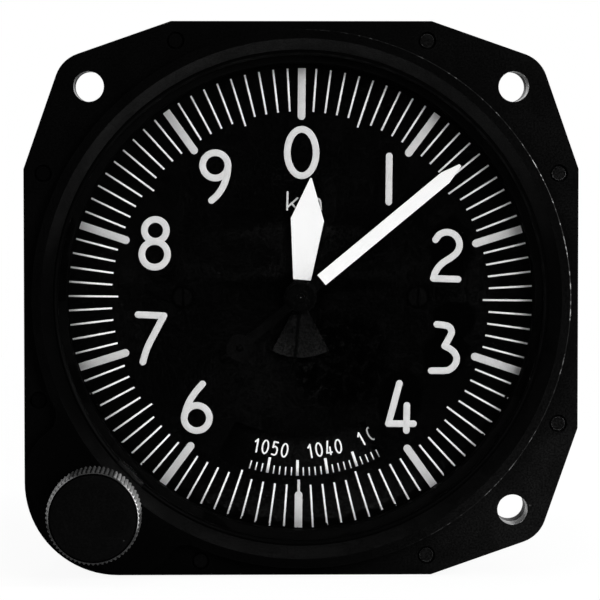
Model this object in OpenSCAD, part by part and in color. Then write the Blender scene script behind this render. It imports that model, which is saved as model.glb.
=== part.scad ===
// Panel altimeter: two pointers over a hundred-tick dial, a pressure scale in a
// window, a setting knob, and the capsule-driven movement inside the case.
// Every part is drawn with x to the right, y up the dial and z towards the reader,
// with z = 0 on the front face of the flange, and stand() then sets it upright.
// Where a depth is given it is counted from that face towards the back.

/* [Front frame] */
// Width and height of the square flange
flange_w = 82.2; // [81:0.1:88]
// Thickness of the flange
flange_t = 4.5; // [3.8:0.1:6]
// Distance between neighbouring mounting holes
hole_pitch = 62.87; // [62:0.01:63.5]
// Diameter of a mounting hole
hole_d = 4.5; // [3.5:0.1:5]
// Radius of the corners that are cut round a mounting hole
corner_r = 5.1; // [4.6:0.1:5.6]
// Slope of the cut edges beside those corners, in degrees
corner_slope = 19.3; // [17:0.1:22]
// Radius of the corner behind the knob
knob_corner_r = 13.9; // [12:0.1:15]
// Radius of the raised ring that pilots the panel cut-out
ring_r = 39.85; // [39.5:0.05:40.2]
// Height of the ring and the knob lobe above the flange
ring_h = 2.2; // [1.5:0.1:3]
// Width of the flat on top of the ring
ring_flat = 1.35; // [1:0.05:1.6]
// Depth of the bevel inside the ring
bevel_h = 3.7; // [3:0.1:4]
// Radius of the dial opening behind the glass
opening_r = 35; // [34:0.1:35.2]
// Width of the shelf that carries the glass and its seal
shelf_w = 1.9; // [1.7:0.05:2.1]
// Length of the opening's wall between the seal and the dial
wall_h = 3.5; // [3.2:0.1:5]
// Outer radius of the spigot that enters the case
spigot_r = 38.7; // [38.4:0.05:38.9]

/* [Knob lobe] */
// Distance of the two lobe arcs' centres from the dial centre
lobe_dist = 42.14; // [41.6:0.02:42.6]
// Angle between those two centres
lobe_spread = 14.84; // [13:0.02:16]
// Radius of the lobe arcs
lobe_r = 7.4; // [7:0.1:7.6]
// Radius of the fillets between lobe and ring
lobe_fillet_r = 3; // [2:0.1:4]
// Direction of the knob from the dial centre, in degrees
knob_dir = 225.73; // [225:0.01:226]

/* [Glass] */
// Thickness of the cover glass
glass_t = 2; // [1.8:0.1:2.4]
// Clearance round the glass
glass_play = 0.1; // [0.05:0.01:0.2]
// Thickness of the seal behind the glass
seal_t = 0.8; // [0.5:0.1:1]
// Wire diameter of the snap ring that holds the glass
clip_d = 1.1; // [0.9:0.05:1.3]
// How far the snap ring sits in its groove
clip_seat = 0.35; // [0.2:0.05:0.45]
// Angle that the snap ring spans
clip_span = 352; // [340:1:355]

/* [Case] */
// Thickness of the gasket between frame and case
gasket_t = 0.5; // [0.4:0.1:1]
// Thickness of the case flange
case_flange_t = 3.5; // [3:0.1:4.5]
// Clearance between the frame's spigot and the case
spigot_play = 0.2; // [0.1:0.05:0.3]
// Wall of the case round the spigot
bell_wall = 1.5; // [1.3:0.1:1.6]
// Inner radius of the long part of the case
case_in_r = 37.6; // [37.2:0.1:38]
// Wall of the long part of the case
case_wall = 1.8; // [1.5:0.1:2.2]
// Depth of the case's outer back face
case_depth = 83; // [83:0.5:95]
// Thickness of the case back
back_t = 3; // [2.5:0.1:4]
// Radius of the case's rear edge
back_fillet = 3; // [1:0.5:4]
// Wall of the lobe that covers the knob's pinions
lobe_wall = 1.3; // [1:0.05:1.4]
// Radius of the three lugs inside the case
lug_r = 3.2; // [3:0.1:3.4]
// Distance of the lugs from the centre
lug_dist = 35.6; // [35.2:0.1:36]
// Length of the lugs
lug_l = 5.7; // [4.5:0.1:6]

/* [Frame screws] */
// Diameter of the eight screws between case and frame
frame_screw_d = 2; // [1.8:0.05:2.2]
// Diameter of the holes in which their ends show
frame_screw_hole_d = 2.7; // [2.4:0.05:2.9]
// Sideways place of the six edge screws
edge_screw_across = 18.6; // [18:0.1:20]
// Outward place of the six edge screws
edge_screw_out = 38.2; // [38:0.05:38.6]
// Sideways place of the two screws beside the knob lobe
lobe_screw_across = 15; // [14:0.1:16]
// Outward place of the two screws beside the knob lobe
lobe_screw_out = 39; // [38.6:0.05:39.2]
// Diameter of the frame screws' heads
frame_head_d = 3.5; // [3:0.1:3.6]
// Height of the frame screws' heads
frame_head_h = 1.6; // [1.2:0.1:2]

/* [Dial] */
// Thickness of the dial plate
dial_t = 0.8; // [0.6:0.1:1]
// Radius of the dial plate
dial_r = 36.6; // [36:0.1:37]
// Radius of the dial's centre hole
dial_hole_r = 2.6; // [2.5:0.05:3]
// Inner radius of the pressure window
window_in = 21; // [20.9:0.1:22]
// Outer radius of the pressure window
window_out = 27.2; // [26:0.1:28]
// Half of the angle that the window spans
window_half = 27.5; // [20:0.5:35]
// Radius of the window's corners
window_round = 0.65; // [0.4:0.05:1]
// Distance of the two dial screws from the centre
dial_screw_x = 17.65; // [17.5:0.05:18]
// Diameter of the dial screws
dial_screw_d = 1.8; // [1.4:0.1:2]
// Diameter of the dial screws' heads
dial_head_d = 3.1; // [2.6:0.1:3.4]
// Height of the dial screws' heads
dial_head_h = 0.6; // [0.4:0.1:0.8]

/* [Pressure disc] */
// Clearance between dial and pressure scale
scale_gap = 0.8; // [0.5:0.1:1.2]
// Thickness of the pressure disc
disc_t = 0.8; // [0.6:0.1:1]
// Outer radius of the disc's thick centre
disc_hub_r = 20.6; // [20.2:0.1:20.8]

/* [Bearing plate] */
// Thickness of the plate across the case
plate_t = 2; // [1.8:0.1:2.6]
// Height of the shelf that carries the pressure disc
shelf_h = 0.8; // [0.6:0.1:1.2]
// Radius of the platform that carries the dial
platform_r = 19.3; // [19:0.1:19.6]
// Radius of the round pocket for the short pointer's gears
pocket_r = 12.5; // [12.2:0.1:13]
// Depth of the pocket's floor below the plate's face
pocket_sink = 1; // [0.9:0.1:1.1]
// Height of the boss behind the plate
boss_h = 1.6; // [1.4:0.1:2]
// Radius of the boss behind the plate
boss_r = 6.2; // [5.5:0.1:7]
// Clearance behind the bearing plate's edge
plate_play = 0.3; // [0.2:0.05:0.5]

/* [Setting knob] */
// Height of the knob
knob_h = 8; // [7:0.5:10]
// Radius over the knurl
knob_r = 7.2; // [7:0.1:7.4]
// Depth of the knurl's grooves
knurl_depth = 0.35; // [0.2:0.05:0.45]
// Number of grooves in the knurl
knurl_count = 72; // [48:1:90]
// Height of the plain collars above and below the knurl
knob_collar = 0.5; // [0.3:0.1:1]
// Gap between knob and lobe
knob_gap = 0.8; // [0.6:0.1:1.5]
// Diameter of the knob shaft
knob_shaft_d = 3; // [2.6:0.1:3.2]
// Outer diameter of the shaft's bush
knob_bush_d = 6; // [5.5:0.1:7]
// Diameter of the knob's set screw
set_screw_d = 2; // [1.6:0.1:2.2]

/* [Gears] */
// Pressure angle of the teeth
pressure_angle = 20; // [18:0.5:22]
// Height of a tooth above its pitch circle, in modules
addendum = 0.75; // [0.7:0.01:0.78]
// Depth of a tooth below its pitch circle, in modules
dedendum = 1.05; // [1:0.01:1.1]
// Module of the setting gears
setting_mod = 0.6; // [0.6:0.002:0.606]
// Teeth of the two pinions on the knob shaft
setting_pinion_z = 20; // [20:2:20]
// Teeth cut round the pressure disc
disc_z = 126; // [126:2:126]
// Teeth of the idler between knob and movement
idler_z = 22; // [22:2:22]
// Teeth cut round the movement's front plate
movement_z = 82; // [82:2:82]
// Thinning of the setting gears' teeth for backlash
setting_play = 0.08; // [0.06:0.01:0.1]
// Module of the multiplying train
train_mod = 0.3; // [0.298:0.001:0.302]
// Thinning of the train's teeth for backlash
train_play = 0.05; // [0.04:0.01:0.06]
// Teeth of the pinion on the long pointer's staff
centre_pinion_z = 12; // [12:1:12]
// Teeth of the intermediate wheel
intermediate_wheel_z = 84; // [84:1:84]
// Teeth of the intermediate pinion
intermediate_pinion_z = 14; // [14:1:14]
// Teeth that the sector would have as a full circle
sector_z = 140; // [140:1:140]
// Module of the short pointer's gears
motion_mod = 0.25; // [0.248:0.001:0.252]
// Teeth of the pinion that drives them
motion_pinion_z = 13; // [13:1:13]
// Teeth of the wheel that it drives
motion_wheel_z = 39; // [39:1:39]
// Teeth of the pinion on that wheel
motion_small_z = 12; // [12:1:12]
// Teeth of the short pointer's wheel
short_wheel_z = 40; // [40:1:40]

/* [Pointers] */
// Reading of the long pointer, clockwise from the top, in degrees
long_reading = 50.4; // [0:0.1:359]
// Lowest turn of the long pointer from that reading
long_low = -158.4; // [-200:0.1:-100]
// Highest turn of the long pointer from that reading
long_high = 3549.6; // [3400:0.1:3560]
// Length of the long pointer to its tip
long_tip = 31; // [29:0.1:34]
// Radius at which the long pointer starts to taper
long_shoulder = 28.1; // [26:0.1:30]
// Width of the long pointer's blade
long_w = 1.95; // [1.6:0.05:2.4]
// Distance of the long pointer's counterweight
long_weight_r = 11.9; // [10:0.1:14]
// Radius of that counterweight
long_weight_d = 4; // [3:0.1:5]
// Length of the short pointer to its tip
short_tip = 17.9; // [17:0.1:19]
// Radius at which the short pointer is widest
short_wide_at = 11.65; // [10:0.05:13]
// Greatest width of the short pointer
short_w = 5; // [4:0.1:6]
// Width of the short pointer at its root
short_root_w = 2; // [1.6:0.1:2.6]
// Radius of the short pointer's fan-shaped tail
fan_r = 9.1; // [8:0.1:10]
// Half of the angle that the fan spans
fan_half = 28; // [20:1:32]
// Thickness of the pointers
pointer_t = 0.4; // [0.3:0.05:0.5]
// Height of the short pointer above the dial
short_lift = 1.1; // [1:0.1:1.3]
// Height of the long pointer above the dial
long_lift = 2.6; // [2.4:0.1:2.8]
// Radius of the cap on the long pointer
cap_r = 2.1; // [1.8:0.1:2.3]
// Radius of the short pointer's hub
short_hub_r = 2.45; // [2.3:0.05:2.5]

/* [Centre staff] */
// Diameter of the long pointer's staff
staff_d = 1.2; // [1.1:0.02:1.24]
// Wall of the fixed pipe round the staff
pipe_wall = 0.37; // [0.35:0.01:0.4]
// Wall of the sleeve round the pipe
sleeve_wall = 0.29; // [0.27:0.01:0.3]
// Wall of the short pointer's tube
tube_wall = 0.44; // [0.42:0.01:0.46]
// Clearance of the fine fits, on the radius
fine_play = 0.06; // [0.05:0.01:0.07]
// Clearance between pieces that are pressed together, on the radius
press_gap = 0.02; // [0.01:0.01:0.03]

/* [Movement] */
// Thickness of the movement's front plate
gear_plate_t = 1.5; // [1.2:0.1:1.8]
// Radius of the hub on which the movement turns
movement_hub_r = 4; // [3.6:0.1:4.4]
// Length of the pillars between the movement's plates
pillar_l = 12; // [12:0.1:13]
// Radius of the pillars
pillar_r = 1.75; // [1.4:0.05:1.9]
// Distance of the pillars from the centre
pillar_dist = 21.5; // [21:0.1:22]
// Thickness of the movement's rear plate
rear_plate_t = 1.5; // [1.2:0.1:1.8]
// Radius of the movement's rear plate
rear_plate_r = 25; // [24:0.1:26]
// Direction of the intermediate arbor from the centre
intermediate_dir = 148.75; // [147:0.05:150]
// Direction of the sector's shaft from the centre
rocker_dir = 64.1; // [63.9:0.05:64.4]
// Diameter of the intermediate arbor
arbor_d = 1.6; // [1.4:0.1:1.8]
// Diameter of the sector's shaft
rocker_d = 1.8; // [1.6:0.1:2]
// Thickness of the wheels in the train
wheel_t = 0.8; // [0.6:0.1:1]
// Length of the rocker arm from its shaft to the pin's line
arm_l = 5.5; // [5.3:0.05:5.7]
// Thickness of the rocker arm
arm_t = 1.2; // [1:0.1:1.4]
// Diameter of the pin that moves the rocker arm
link_pin_d = 1; // [0.9:0.05:1.05]

/* [Capsules] */
// Diameter of the two aneroid capsules
capsule_d = 40; // [38:0.5:40.5]
// Height of one capsule
capsule_h = 8; // [7:0.1:8.2]
// Wall of the capsules
capsule_wall = 0.3; // [0.25:0.05:0.4]
// Height of the corrugations
corrugation = 0.35; // [0.2:0.05:0.4]
// Number of corrugations on each face
corrugation_count = 4; // [3:1:5]
// Depth of the capsules' axis
capsule_depth = 54; // [54:0.1:55]
// Width of the frame that carries the capsules
capsule_frame_w = 12; // [10:0.5:13]
// Thickness of that frame
capsule_frame_t = 2; // [1.6:0.1:2.2]
// Distance of the frame's bed below the centre
capsule_bed = 26.7; // [26.5:0.1:27]
// Travel of the capsule post for each degree of the rocker
post_rate = 0.1015; // [0.1:0.0005:0.103]

/* [Static port] */
// Diameter of the hose nipple
nipple_d = 6; // [5:0.1:7]
// Length of the hose nipple
nipple_l = 10; // [8:0.5:14]
// Diameter of the nipple's bore
nipple_bore_d = 3; // [2.5:0.1:3.4]
// Diameter of the thread in the case
port_thread_d = 10; // [9:0.1:11]
// Width across the corners of the fitting's hexagon
port_hex_d = 15; // [14:0.1:16]
// Distance of the port below the centre
port_drop = 20; // [17:0.5:22]

/* [Hidden] */
$fn = 96;
through = 1;
bite = 0.2;

// Depths, front to back
glass_z = ring_h - bevel_h - clip_d;
seal_z = glass_z - glass_t;
shelf_z = seal_z - seal_t;
wall_z = shelf_z - wall_h;
dial_z = wall_z - glass_play;
dial_back_z = dial_z - dial_t;
scale_z = dial_back_z - scale_gap;
disc_back_z = scale_z - disc_t;
disc_run = 0.1;
plate_shelf_z = disc_back_z - disc_run;
plate_z = plate_shelf_z - shelf_h;
plate_back_z = plate_z - plate_t;
pocket_z = plate_z - pocket_sink;
boss_z = plate_back_z - boss_h;
gear_plate_z = boss_z - disc_run;
gear_plate_back_z = gear_plate_z - gear_plate_t;
rear_plate_z = gear_plate_back_z - pillar_l;
rear_plate_back_z = rear_plate_z - rear_plate_t;
case_z = -flange_t - gasket_t;
case_flange_z = case_z - case_flange_t;
back_z = -case_depth;
back_in_z = back_z + back_t;
bell_z = plate_back_z - 2;
lug_z = plate_back_z - lug_l;
lobe_floor_z = gear_plate_back_z - 1;
lobe_back_z = lobe_floor_z - 1.5;

// Radii and places of the case and the front frame
glass_bore_r = opening_r + shelf_w;
bevel_z = ring_h - bevel_h;
case_bore_r = spigot_r + spigot_play;
bell_r = case_bore_r + bell_wall;
case_r = case_in_r + case_wall;
journal_r = 1;
plate_screw_r = 1;
plate_head_r = 1.9;
rear_bush_r = 4;
bush_r = 1.4;
hole_off = hole_pitch / 2;
half = flange_w / 2;
plate_r = case_bore_r - plate_play;
lug_dirs = [45.7, 160.7, 290.7];
frame_screws_at = [
    [-edge_screw_across, edge_screw_out], [edge_screw_across, edge_screw_out],
    [-edge_screw_out, edge_screw_across], [edge_screw_out, edge_screw_across],
    [edge_screw_out, -edge_screw_across], [edge_screw_across, -edge_screw_out],
    [-lobe_screw_out, -lobe_screw_across], [-lobe_screw_across, -lobe_screw_out]
];

// Setting gears: knob, idler and movement lie on one line through the centre
knob_dist = setting_mod * (movement_z + 2 * idler_z + setting_pinion_z) / 2;
idler_dist = setting_mod * (movement_z + idler_z) / 2;
knob_pos = polar(knob_dist, knob_dir);
idler_pos = polar(idler_dist, knob_dir);
pinion_tip_r = setting_mod * (setting_pinion_z / 2 + addendum);
lobe_pocket_r = pinion_tip_r + 0.45;
case_lobe_r = lobe_pocket_r + lobe_wall;
knob_shaft_r = knob_shaft_d / 2;
knob_z = ring_h + knob_gap;
knob_top_z = knob_z + knob_h;
knob_bush_z = -flange_t - 1.5;
gear_t = 1.2;
setting_z = gear_plate_z - 0.1;

// Train: the sector turns the centre pinion through the intermediate arbor
intermediate_dist = train_mod * (centre_pinion_z + intermediate_wheel_z) / 2;
rocker_reach = train_mod * (intermediate_pinion_z + sector_z) / 2;
intermediate_pos = polar(intermediate_dist, intermediate_dir);
rocker_pos = let (
        turn = rocker_dir - intermediate_dir,
        s = intermediate_dist * sin(turn),
        dist = intermediate_dist * cos(turn) + sqrt(rocker_reach * rocker_reach - s * s)
    ) polar(dist, rocker_dir);
contact_dir = direction(intermediate_pos - rocker_pos);
train_ratio = sector_z / intermediate_pinion_z * intermediate_wheel_z / centre_pinion_z;
sector_pitch = 360 / sector_z;
sector_spare = 2.5;
sector_first = floor(long_low / train_ratio / sector_pitch - sector_spare);
sector_last = ceil(long_high / train_ratio / sector_pitch + sector_spare);
rocker_rest = (long_high + long_low) / 2 / train_ratio;
wheel_z = gear_plate_back_z - 1.1;
cock_z = wheel_z - wheel_t - 1.2;
cock_t = 1.2;
cock_back_z = cock_z - cock_t;
sector_z0 = cock_back_z - 1.6;
sector_t = 1;
pinion_z0 = sector_z0 + 0.5;
spring_z = rear_plate_z + 3.1;
spring_h = 0.5;
pivot_r = 0.42;
rocker_pivot_r = 0.5;
cock_feet = [polar(12.8, 321.3), polar(12.4, 14)];
cock_foot_r = 2.4;
pillar_dirs = [15, 195, 305];

// Centre, from the staff outwards
staff_r = staff_d / 2;
pipe_in_r = staff_r + fine_play + press_gap;
pipe_r = pipe_in_r + pipe_wall;
sleeve_in_r = pipe_r + fine_play;
sleeve_r = sleeve_in_r + sleeve_wall;
tube_in_r = sleeve_r + fine_play;
tube_r = tube_in_r + tube_wall;
short_z = dial_z + short_lift;
long_z = dial_z + long_lift;
cap_z = long_z + pointer_t + 0.1;
cap_top_z = cap_z + 0.5;
motion_t = 0.7;
motion_z = pocket_z + 0.2;
bridge_z = motion_z + motion_t + 0.2;
bridge_t = 0.6;
bridge_top_z = bridge_z + bridge_t;
short_wheel_z0 = bridge_top_z + 0.2;
motion_dist = motion_mod * (motion_pinion_z + motion_wheel_z) / 2;
motion_pos = [0, motion_dist];
bridge_w = 5;
bridge_l = 31;
bridge_screw_x = 13.9;
motion_stud_r = 0.45;
motion_bush_r = motion_stud_r + fine_play + 0.24;
sleeve_z = [short_wheel_z0 - 0.1, short_z - 0.3];

// Capsules and what they move
rocker_arm_z = -capsule_depth;
capsule_x = rocker_pos.x - arm_l;
capsule_foot_y = -capsule_bed + capsule_frame_t + 0.7;
capsule_gap = 1;
capsule_top_y = capsule_foot_y + 2 * capsule_h + capsule_gap;
link_pin_y = rocker_pos.y - post_rate * rocker_rest;
capsule_rear_z = -capsule_depth - capsule_d / 2 - 1.5;
capsule_rear_back_z = capsule_rear_z - capsule_frame_t;
rear_pivot_r = 1.5;
rear_pivot_z = back_in_z - 2;
foot_screw_x = 4;
foot_screw_y = -17;
bed_y = -capsule_bed;
port_pos = [0, -port_drop];
port_boss_h = 3;
port_face_z = back_z - port_boss_h;
port_seal_t = 0.8;
hex_t = 4;

// Shared shapes
function polar(r, a) = [r * cos(a), r * sin(a)];
function direction(v) = atan2(v.y, v.x);
function involute(a) = tan(a) * 180 / PI - a;
function base_r(z, m) = z * m / 2 * cos(pressure_angle);
// Half of the angle that a tooth fills at radius r
function half_tooth(r, z, m, play) =
    let (base = base_r(z, m), at_r = max(r, base))
    90 / z - play / (m * z) * 180 / PI + involute(pressure_angle)
    - involute(acos(min(1, base / at_r)));
function tooth(a, z, m, play) = [
    for (p = [[-dedendum, -1], [0, -1], [addendum, -1], [addendum, 1], [0, 1], [-dedendum, 1]])
        let (r = m * (z / 2 + p[0]))
        polar(r, a + p[1] * half_tooth(r, z, m, play))
];
// Gear outline with the middle of one tooth at angle a
function gear_points(z, m, play, a) =
    [for (i = [0:z - 1]) each tooth(a + i * 360 / z, z, m, play)];
// Points along an arc, without the first and last ones if skip is 1
function arc_points(centre, r, a0, a1, steps, skip = 0) =
    [for (i = [skip:steps - skip]) centre + polar(r, a0 + (a1 - a0) * i / steps)];

module stand() { rotate([90, 0, 0]) children(); }
module at(p) { translate([p.x, p.y, 0]) children(); }
module rod(r, z0, z1) { translate([0, 0, min(z0, z1)]) cylinder(r = r, h = abs(z1 - z0)); }
module slab(z0, z1) {
    translate([0, 0, min(z0, z1)]) linear_extrude(abs(z1 - z0)) children();
}
module tube(r_out, r_in, z0, z1) {
    difference() {
        rod(r_out, z0, z1);
        rod(r_in, min(z0, z1) - through, max(z0, z1) + through);
    }
}
// Slotted cheese head on a shank, its head on the side of z_head
module screw(shank_r, head_r, z_end, z_seat, z_head) {
    slot_d = abs(z_head - z_seat) * 0.4;
    slot_w = head_r * 0.3;
    difference() {
        union() {
            rod(shank_r, z_end, z_seat);
            rod(head_r, z_seat, z_head);
        }
        translate([-head_r - through, -slot_w / 2, z_head - slot_d])
            cube([2 * (head_r + through), slot_w, 2 * slot_d]);
    }
}
module at_mounting_holes() {
    for (p = [[-1, 1], [1, 1], [1, -1]]) translate([p.x * hole_off, p.y * hole_off, 0]) children();
}
module at_frame_screws() { for (p = frame_screws_at) at(p) children(); }
// What rounding takes off a corner whose arc runs between two angles
module corner_cut(r, a0, a1) {
    difference() {
        polygon([[0, 0], polar(2 * r, a0), polar(2 * r, (a0 + a1) / 2), polar(2 * r, a1)]);
        circle(r);
    }
}

// Square flange with three cut corners and one round corner behind the knob
module flange_outline() {
    a = corner_slope;
    tip = hole_off + corner_r * cos(45) / cos(45 - a);
    run = tip - (half - tip) / tan(a);
    round_off = half - knob_corner_r;
    difference() {
        polygon([
            [run, half], [tip, tip], [half, run], [half, -run], [tip, -tip], [run, -half],
            [-half, -half], [-half, run], [-tip, tip], [-run, half]
        ]);
        at([-hole_off, hole_off]) corner_cut(corner_r, 90 + a, 180 - a);
        at([hole_off, hole_off]) corner_cut(corner_r, a, 90 - a);
        at([hole_off, -hole_off]) corner_cut(corner_r, 270 + a, 360 - a);
        at([-round_off, -round_off]) corner_cut(knob_corner_r, 180, 270);
    }
}
// Ring and knob lobe, joined by a fillet on each side
module raised_outline() {
    middle = 225;
    arcs = [for (s = [-1, 1]) polar(lobe_dist, middle + s * lobe_spread / 2)];
    edge = polar(lobe_r, middle);
    circle(ring_r);
    for (p = arcs) at(p) circle(lobe_r);
    polygon([[0, 0], arcs[0], arcs[0] + edge, arcs[1] + edge, arcs[1]]);
    ring_reach = ring_r + lobe_fillet_r;
    lobe_reach = lobe_r + lobe_fillet_r;
    swing = acos((lobe_dist * lobe_dist + ring_reach * ring_reach - lobe_reach * lobe_reach)
        / (2 * lobe_dist * ring_reach));
    for (s = [-1, 1]) {
        arc = polar(lobe_dist, middle + s * lobe_spread / 2);
        heel = polar(ring_reach, middle + s * (lobe_spread / 2 + swing));
        difference() {
            polygon([[0, 0], heel, arc]);
            at(heel) circle(lobe_fillet_r);
        }
    }
}
// Cavity round the two pinions on the knob shaft, open to the case
module lobe_outline(r) {
    rotate(knob_dir) difference() {
        translate([0, -r]) square([knob_dist + r, 2 * r]);
        for (a = [0, 270]) translate([knob_dist, 0]) corner_cut(r, a, a + 90);
    }
}

// Front frame and glass
module front_frame() {
    color("#17171a") stand() difference() {
        union() {
            slab(-flange_t, 0) flange_outline();
            slab(-flange_t, ring_h) raised_outline();
            rod(spigot_r, wall_z, -flange_t);
        }
        translate([0, 0, bevel_z]) cylinder(r1 = glass_bore_r, r2 = ring_r - ring_flat, h = bevel_h);
        rod(ring_r - ring_flat, ring_h, ring_h + through);
        rod(glass_bore_r, shelf_z, bevel_z);
        rotate_extrude() translate([clip_r(), glass_z + clip_d / 2]) circle(clip_d / 2 + press_gap);
        rod(opening_r, wall_z - through, shelf_z + through);
        at_mounting_holes() rod(hole_d / 2, -flange_t - through, through);
        at_frame_screws() {
            rod(frame_screw_d / 2 + press_gap, -flange_t - through, through);
            rod(frame_screw_hole_d / 2, -0.8, through);
        }
        at(knob_pos) rod(knob_bush_d / 2 + press_gap, -flange_t - through, ring_h + through);
    }
}
// Radius of the snap ring's wire circle
function clip_r() = glass_bore_r - clip_d / 2 + clip_seat;
module glass_retaining_ring() {
    color("#8d8f92") stand() rotate([0, 0, knob_dir + (360 - clip_span) / 2])
        rotate_extrude(angle = clip_span) translate([clip_r(), glass_z + clip_d / 2])
            circle(clip_d / 2);
}
module glass() {
    color("#cfe4ee", 0.35) stand() rod(glass_bore_r - glass_play, seal_z, glass_z);
}
module glass_seal() {
    seal_r = glass_bore_r - glass_play;
    color("#101010") stand() tube(seal_r, opening_r + glass_play, shelf_z, seal_z);
}

// Case
module case_shell_outline() {
    long = case_depth + case_flange_z;
    square([case_r - back_fillet, long]);
    translate([0, back_fillet]) square([case_r, long - back_fillet]);
    translate([case_r - back_fillet, back_fillet]) circle(back_fillet);
}
module case_body() {
    color("#1d1d20") stand() difference() {
        union() {
            slab(case_flange_z, case_z) flange_outline();
            rod(bell_r, bell_z, case_z);
            translate([0, 0, back_z]) rotate_extrude() intersection() {
                case_shell_outline();
                square(case_depth);
            }
            slab(lobe_back_z, case_z) lobe_outline(case_lobe_r);
            at(knob_pos) rod(knob_shaft_r + 1.5, lobe_back_z - 1.5, lobe_back_z);
            at(port_pos) rod(port_thread_d / 2 + 2.5, port_face_z, back_z);
        }
        rod(case_bore_r, plate_back_z, case_z + through);
        difference() {
            rod(case_in_r, back_in_z, plate_back_z + bite);
            for (a = lug_dirs) at(polar(lug_dist, a)) rod(lug_r, lug_z, plate_back_z + through);
        }
        difference() {
            slab(lobe_floor_z, case_z + through) lobe_outline(lobe_pocket_r);
            rod(case_in_r - bite, back_in_z, plate_back_z - through);
        }
        at_mounting_holes() rod(hole_d / 2, case_flange_z - through, case_z + through);
        at_frame_screws() {
            rod(frame_screw_d / 2 + 0.1, case_flange_z - through, case_z + through);
            rod(frame_head_d / 2 + 0.25, bell_z - through, case_flange_z);
        }
        for (a = lug_dirs) at(polar(lug_dist, a)) rod(plate_screw_r + press_gap, lug_z - through, plate_z);
        at(knob_pos) rod(journal_r + fine_play, lobe_back_z - 0.8, lobe_floor_z + through);
        rod(rear_bush_r + press_gap, back_z - through, back_in_z + through);
        at(port_pos) rod(port_thread_d / 2 + press_gap, port_face_z - through, back_in_z + through);
    }
}
module frame_gasket() {
    color("#141414") stand() slab(case_z, -flange_t) difference() {
        flange_outline();
        circle(case_bore_r);
        lobe_outline(lobe_pocket_r);
        at_mounting_holes() circle(hole_d / 2 + 0.3);
        at_frame_screws() circle(frame_screw_d / 2 + 0.2);
    }
}
module frame_screws() {
    color("#3a3a3d") stand() at_frame_screws() rotate([180, 0, 0])
        screw(frame_screw_d / 2, frame_head_d / 2, 0.3, -case_flange_z, frame_head_h - case_flange_z);
}
module rear_bearing() {
    color("#b08d3c") stand() difference() {
        union() {
            rod(rear_bush_r, back_z, back_in_z);
            rod(rear_bush_r + 1.4, back_in_z, back_in_z + 0.8);
        }
        rod(rear_pivot_r + fine_play, rear_pivot_z - 0.4, back_in_z + through);
    }
}
module static_port() {
    hex_z = port_face_z - port_seal_t;
    nipple_z = hex_z - hex_t;
    color("#77797c") stand() at(port_pos) difference() {
        union() {
            rod(port_thread_d / 2, hex_z, back_z + 1);
            translate([0, 0, nipple_z]) cylinder(r = port_hex_d / 2, h = hex_t, $fn = 6);
            rod(nipple_d / 2, nipple_z - nipple_l, nipple_z);
        }
        rod(nipple_bore_d / 2, nipple_z - nipple_l - through, back_z + 1 + through);
    }
}
module port_seal() {
    color("#141414") stand() at(port_pos)
        tube(port_thread_d / 2 + 1.6, port_thread_d / 2 + press_gap, port_face_z - port_seal_t, port_face_z);
}

// Dial and pressure scale: the window is part of a ring, its four corners rounded
module window_outline() {
    outer = window_out - window_round;
    inner = window_in + window_round;
    outer_a = window_half - asin(window_round / outer);
    inner_a = window_half - asin(window_round / inner);
    polygon(concat(
        arc_points([0, 0], window_out, 270 - outer_a, 270 + outer_a, 32, 1),
        arc_points(polar(outer, 270 + outer_a), window_round, 270 + outer_a, 360 + window_half, 6),
        arc_points(polar(inner, 270 + inner_a), window_round, window_half, 90 + inner_a, 6),
        arc_points([0, 0], window_in, 270 + inner_a, 270 - inner_a, 24, 1),
        arc_points(polar(inner, 270 - inner_a), window_round, 90 - inner_a, 180 - window_half, 6),
        arc_points(polar(outer, 270 - outer_a), window_round, 180 - window_half, 270 - outer_a, 6)
    ));
}
module dial_plate() {
    color("#161618") stand() slab(dial_back_z, dial_z) difference() {
        circle(dial_r);
        circle(dial_hole_r);
        window_outline();
        for (s = [-1, 1]) translate([s * dial_screw_x, 0]) circle(dial_screw_d / 2 + 0.1);
    }
}
module dial_screws() {
    color("#2b2b2e") stand() for (s = [-1, 1]) translate([s * dial_screw_x, 0, 0]) rotate(88)
        screw(dial_screw_d / 2, dial_head_d / 2, dial_back_z - 2, dial_z, dial_z + dial_head_h);
}
module pressure_disc() {
    color("#202023") stand() difference() {
        union() {
            slab(disc_back_z, scale_z)
                polygon(gear_points(disc_z, setting_mod, setting_play, knob_dir + 180 / disc_z));
            rod(disc_hub_r, disc_back_z, dial_back_z - disc_run);
        }
        rod(platform_r + fine_play, disc_back_z - through, dial_z);
    }
}

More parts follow.
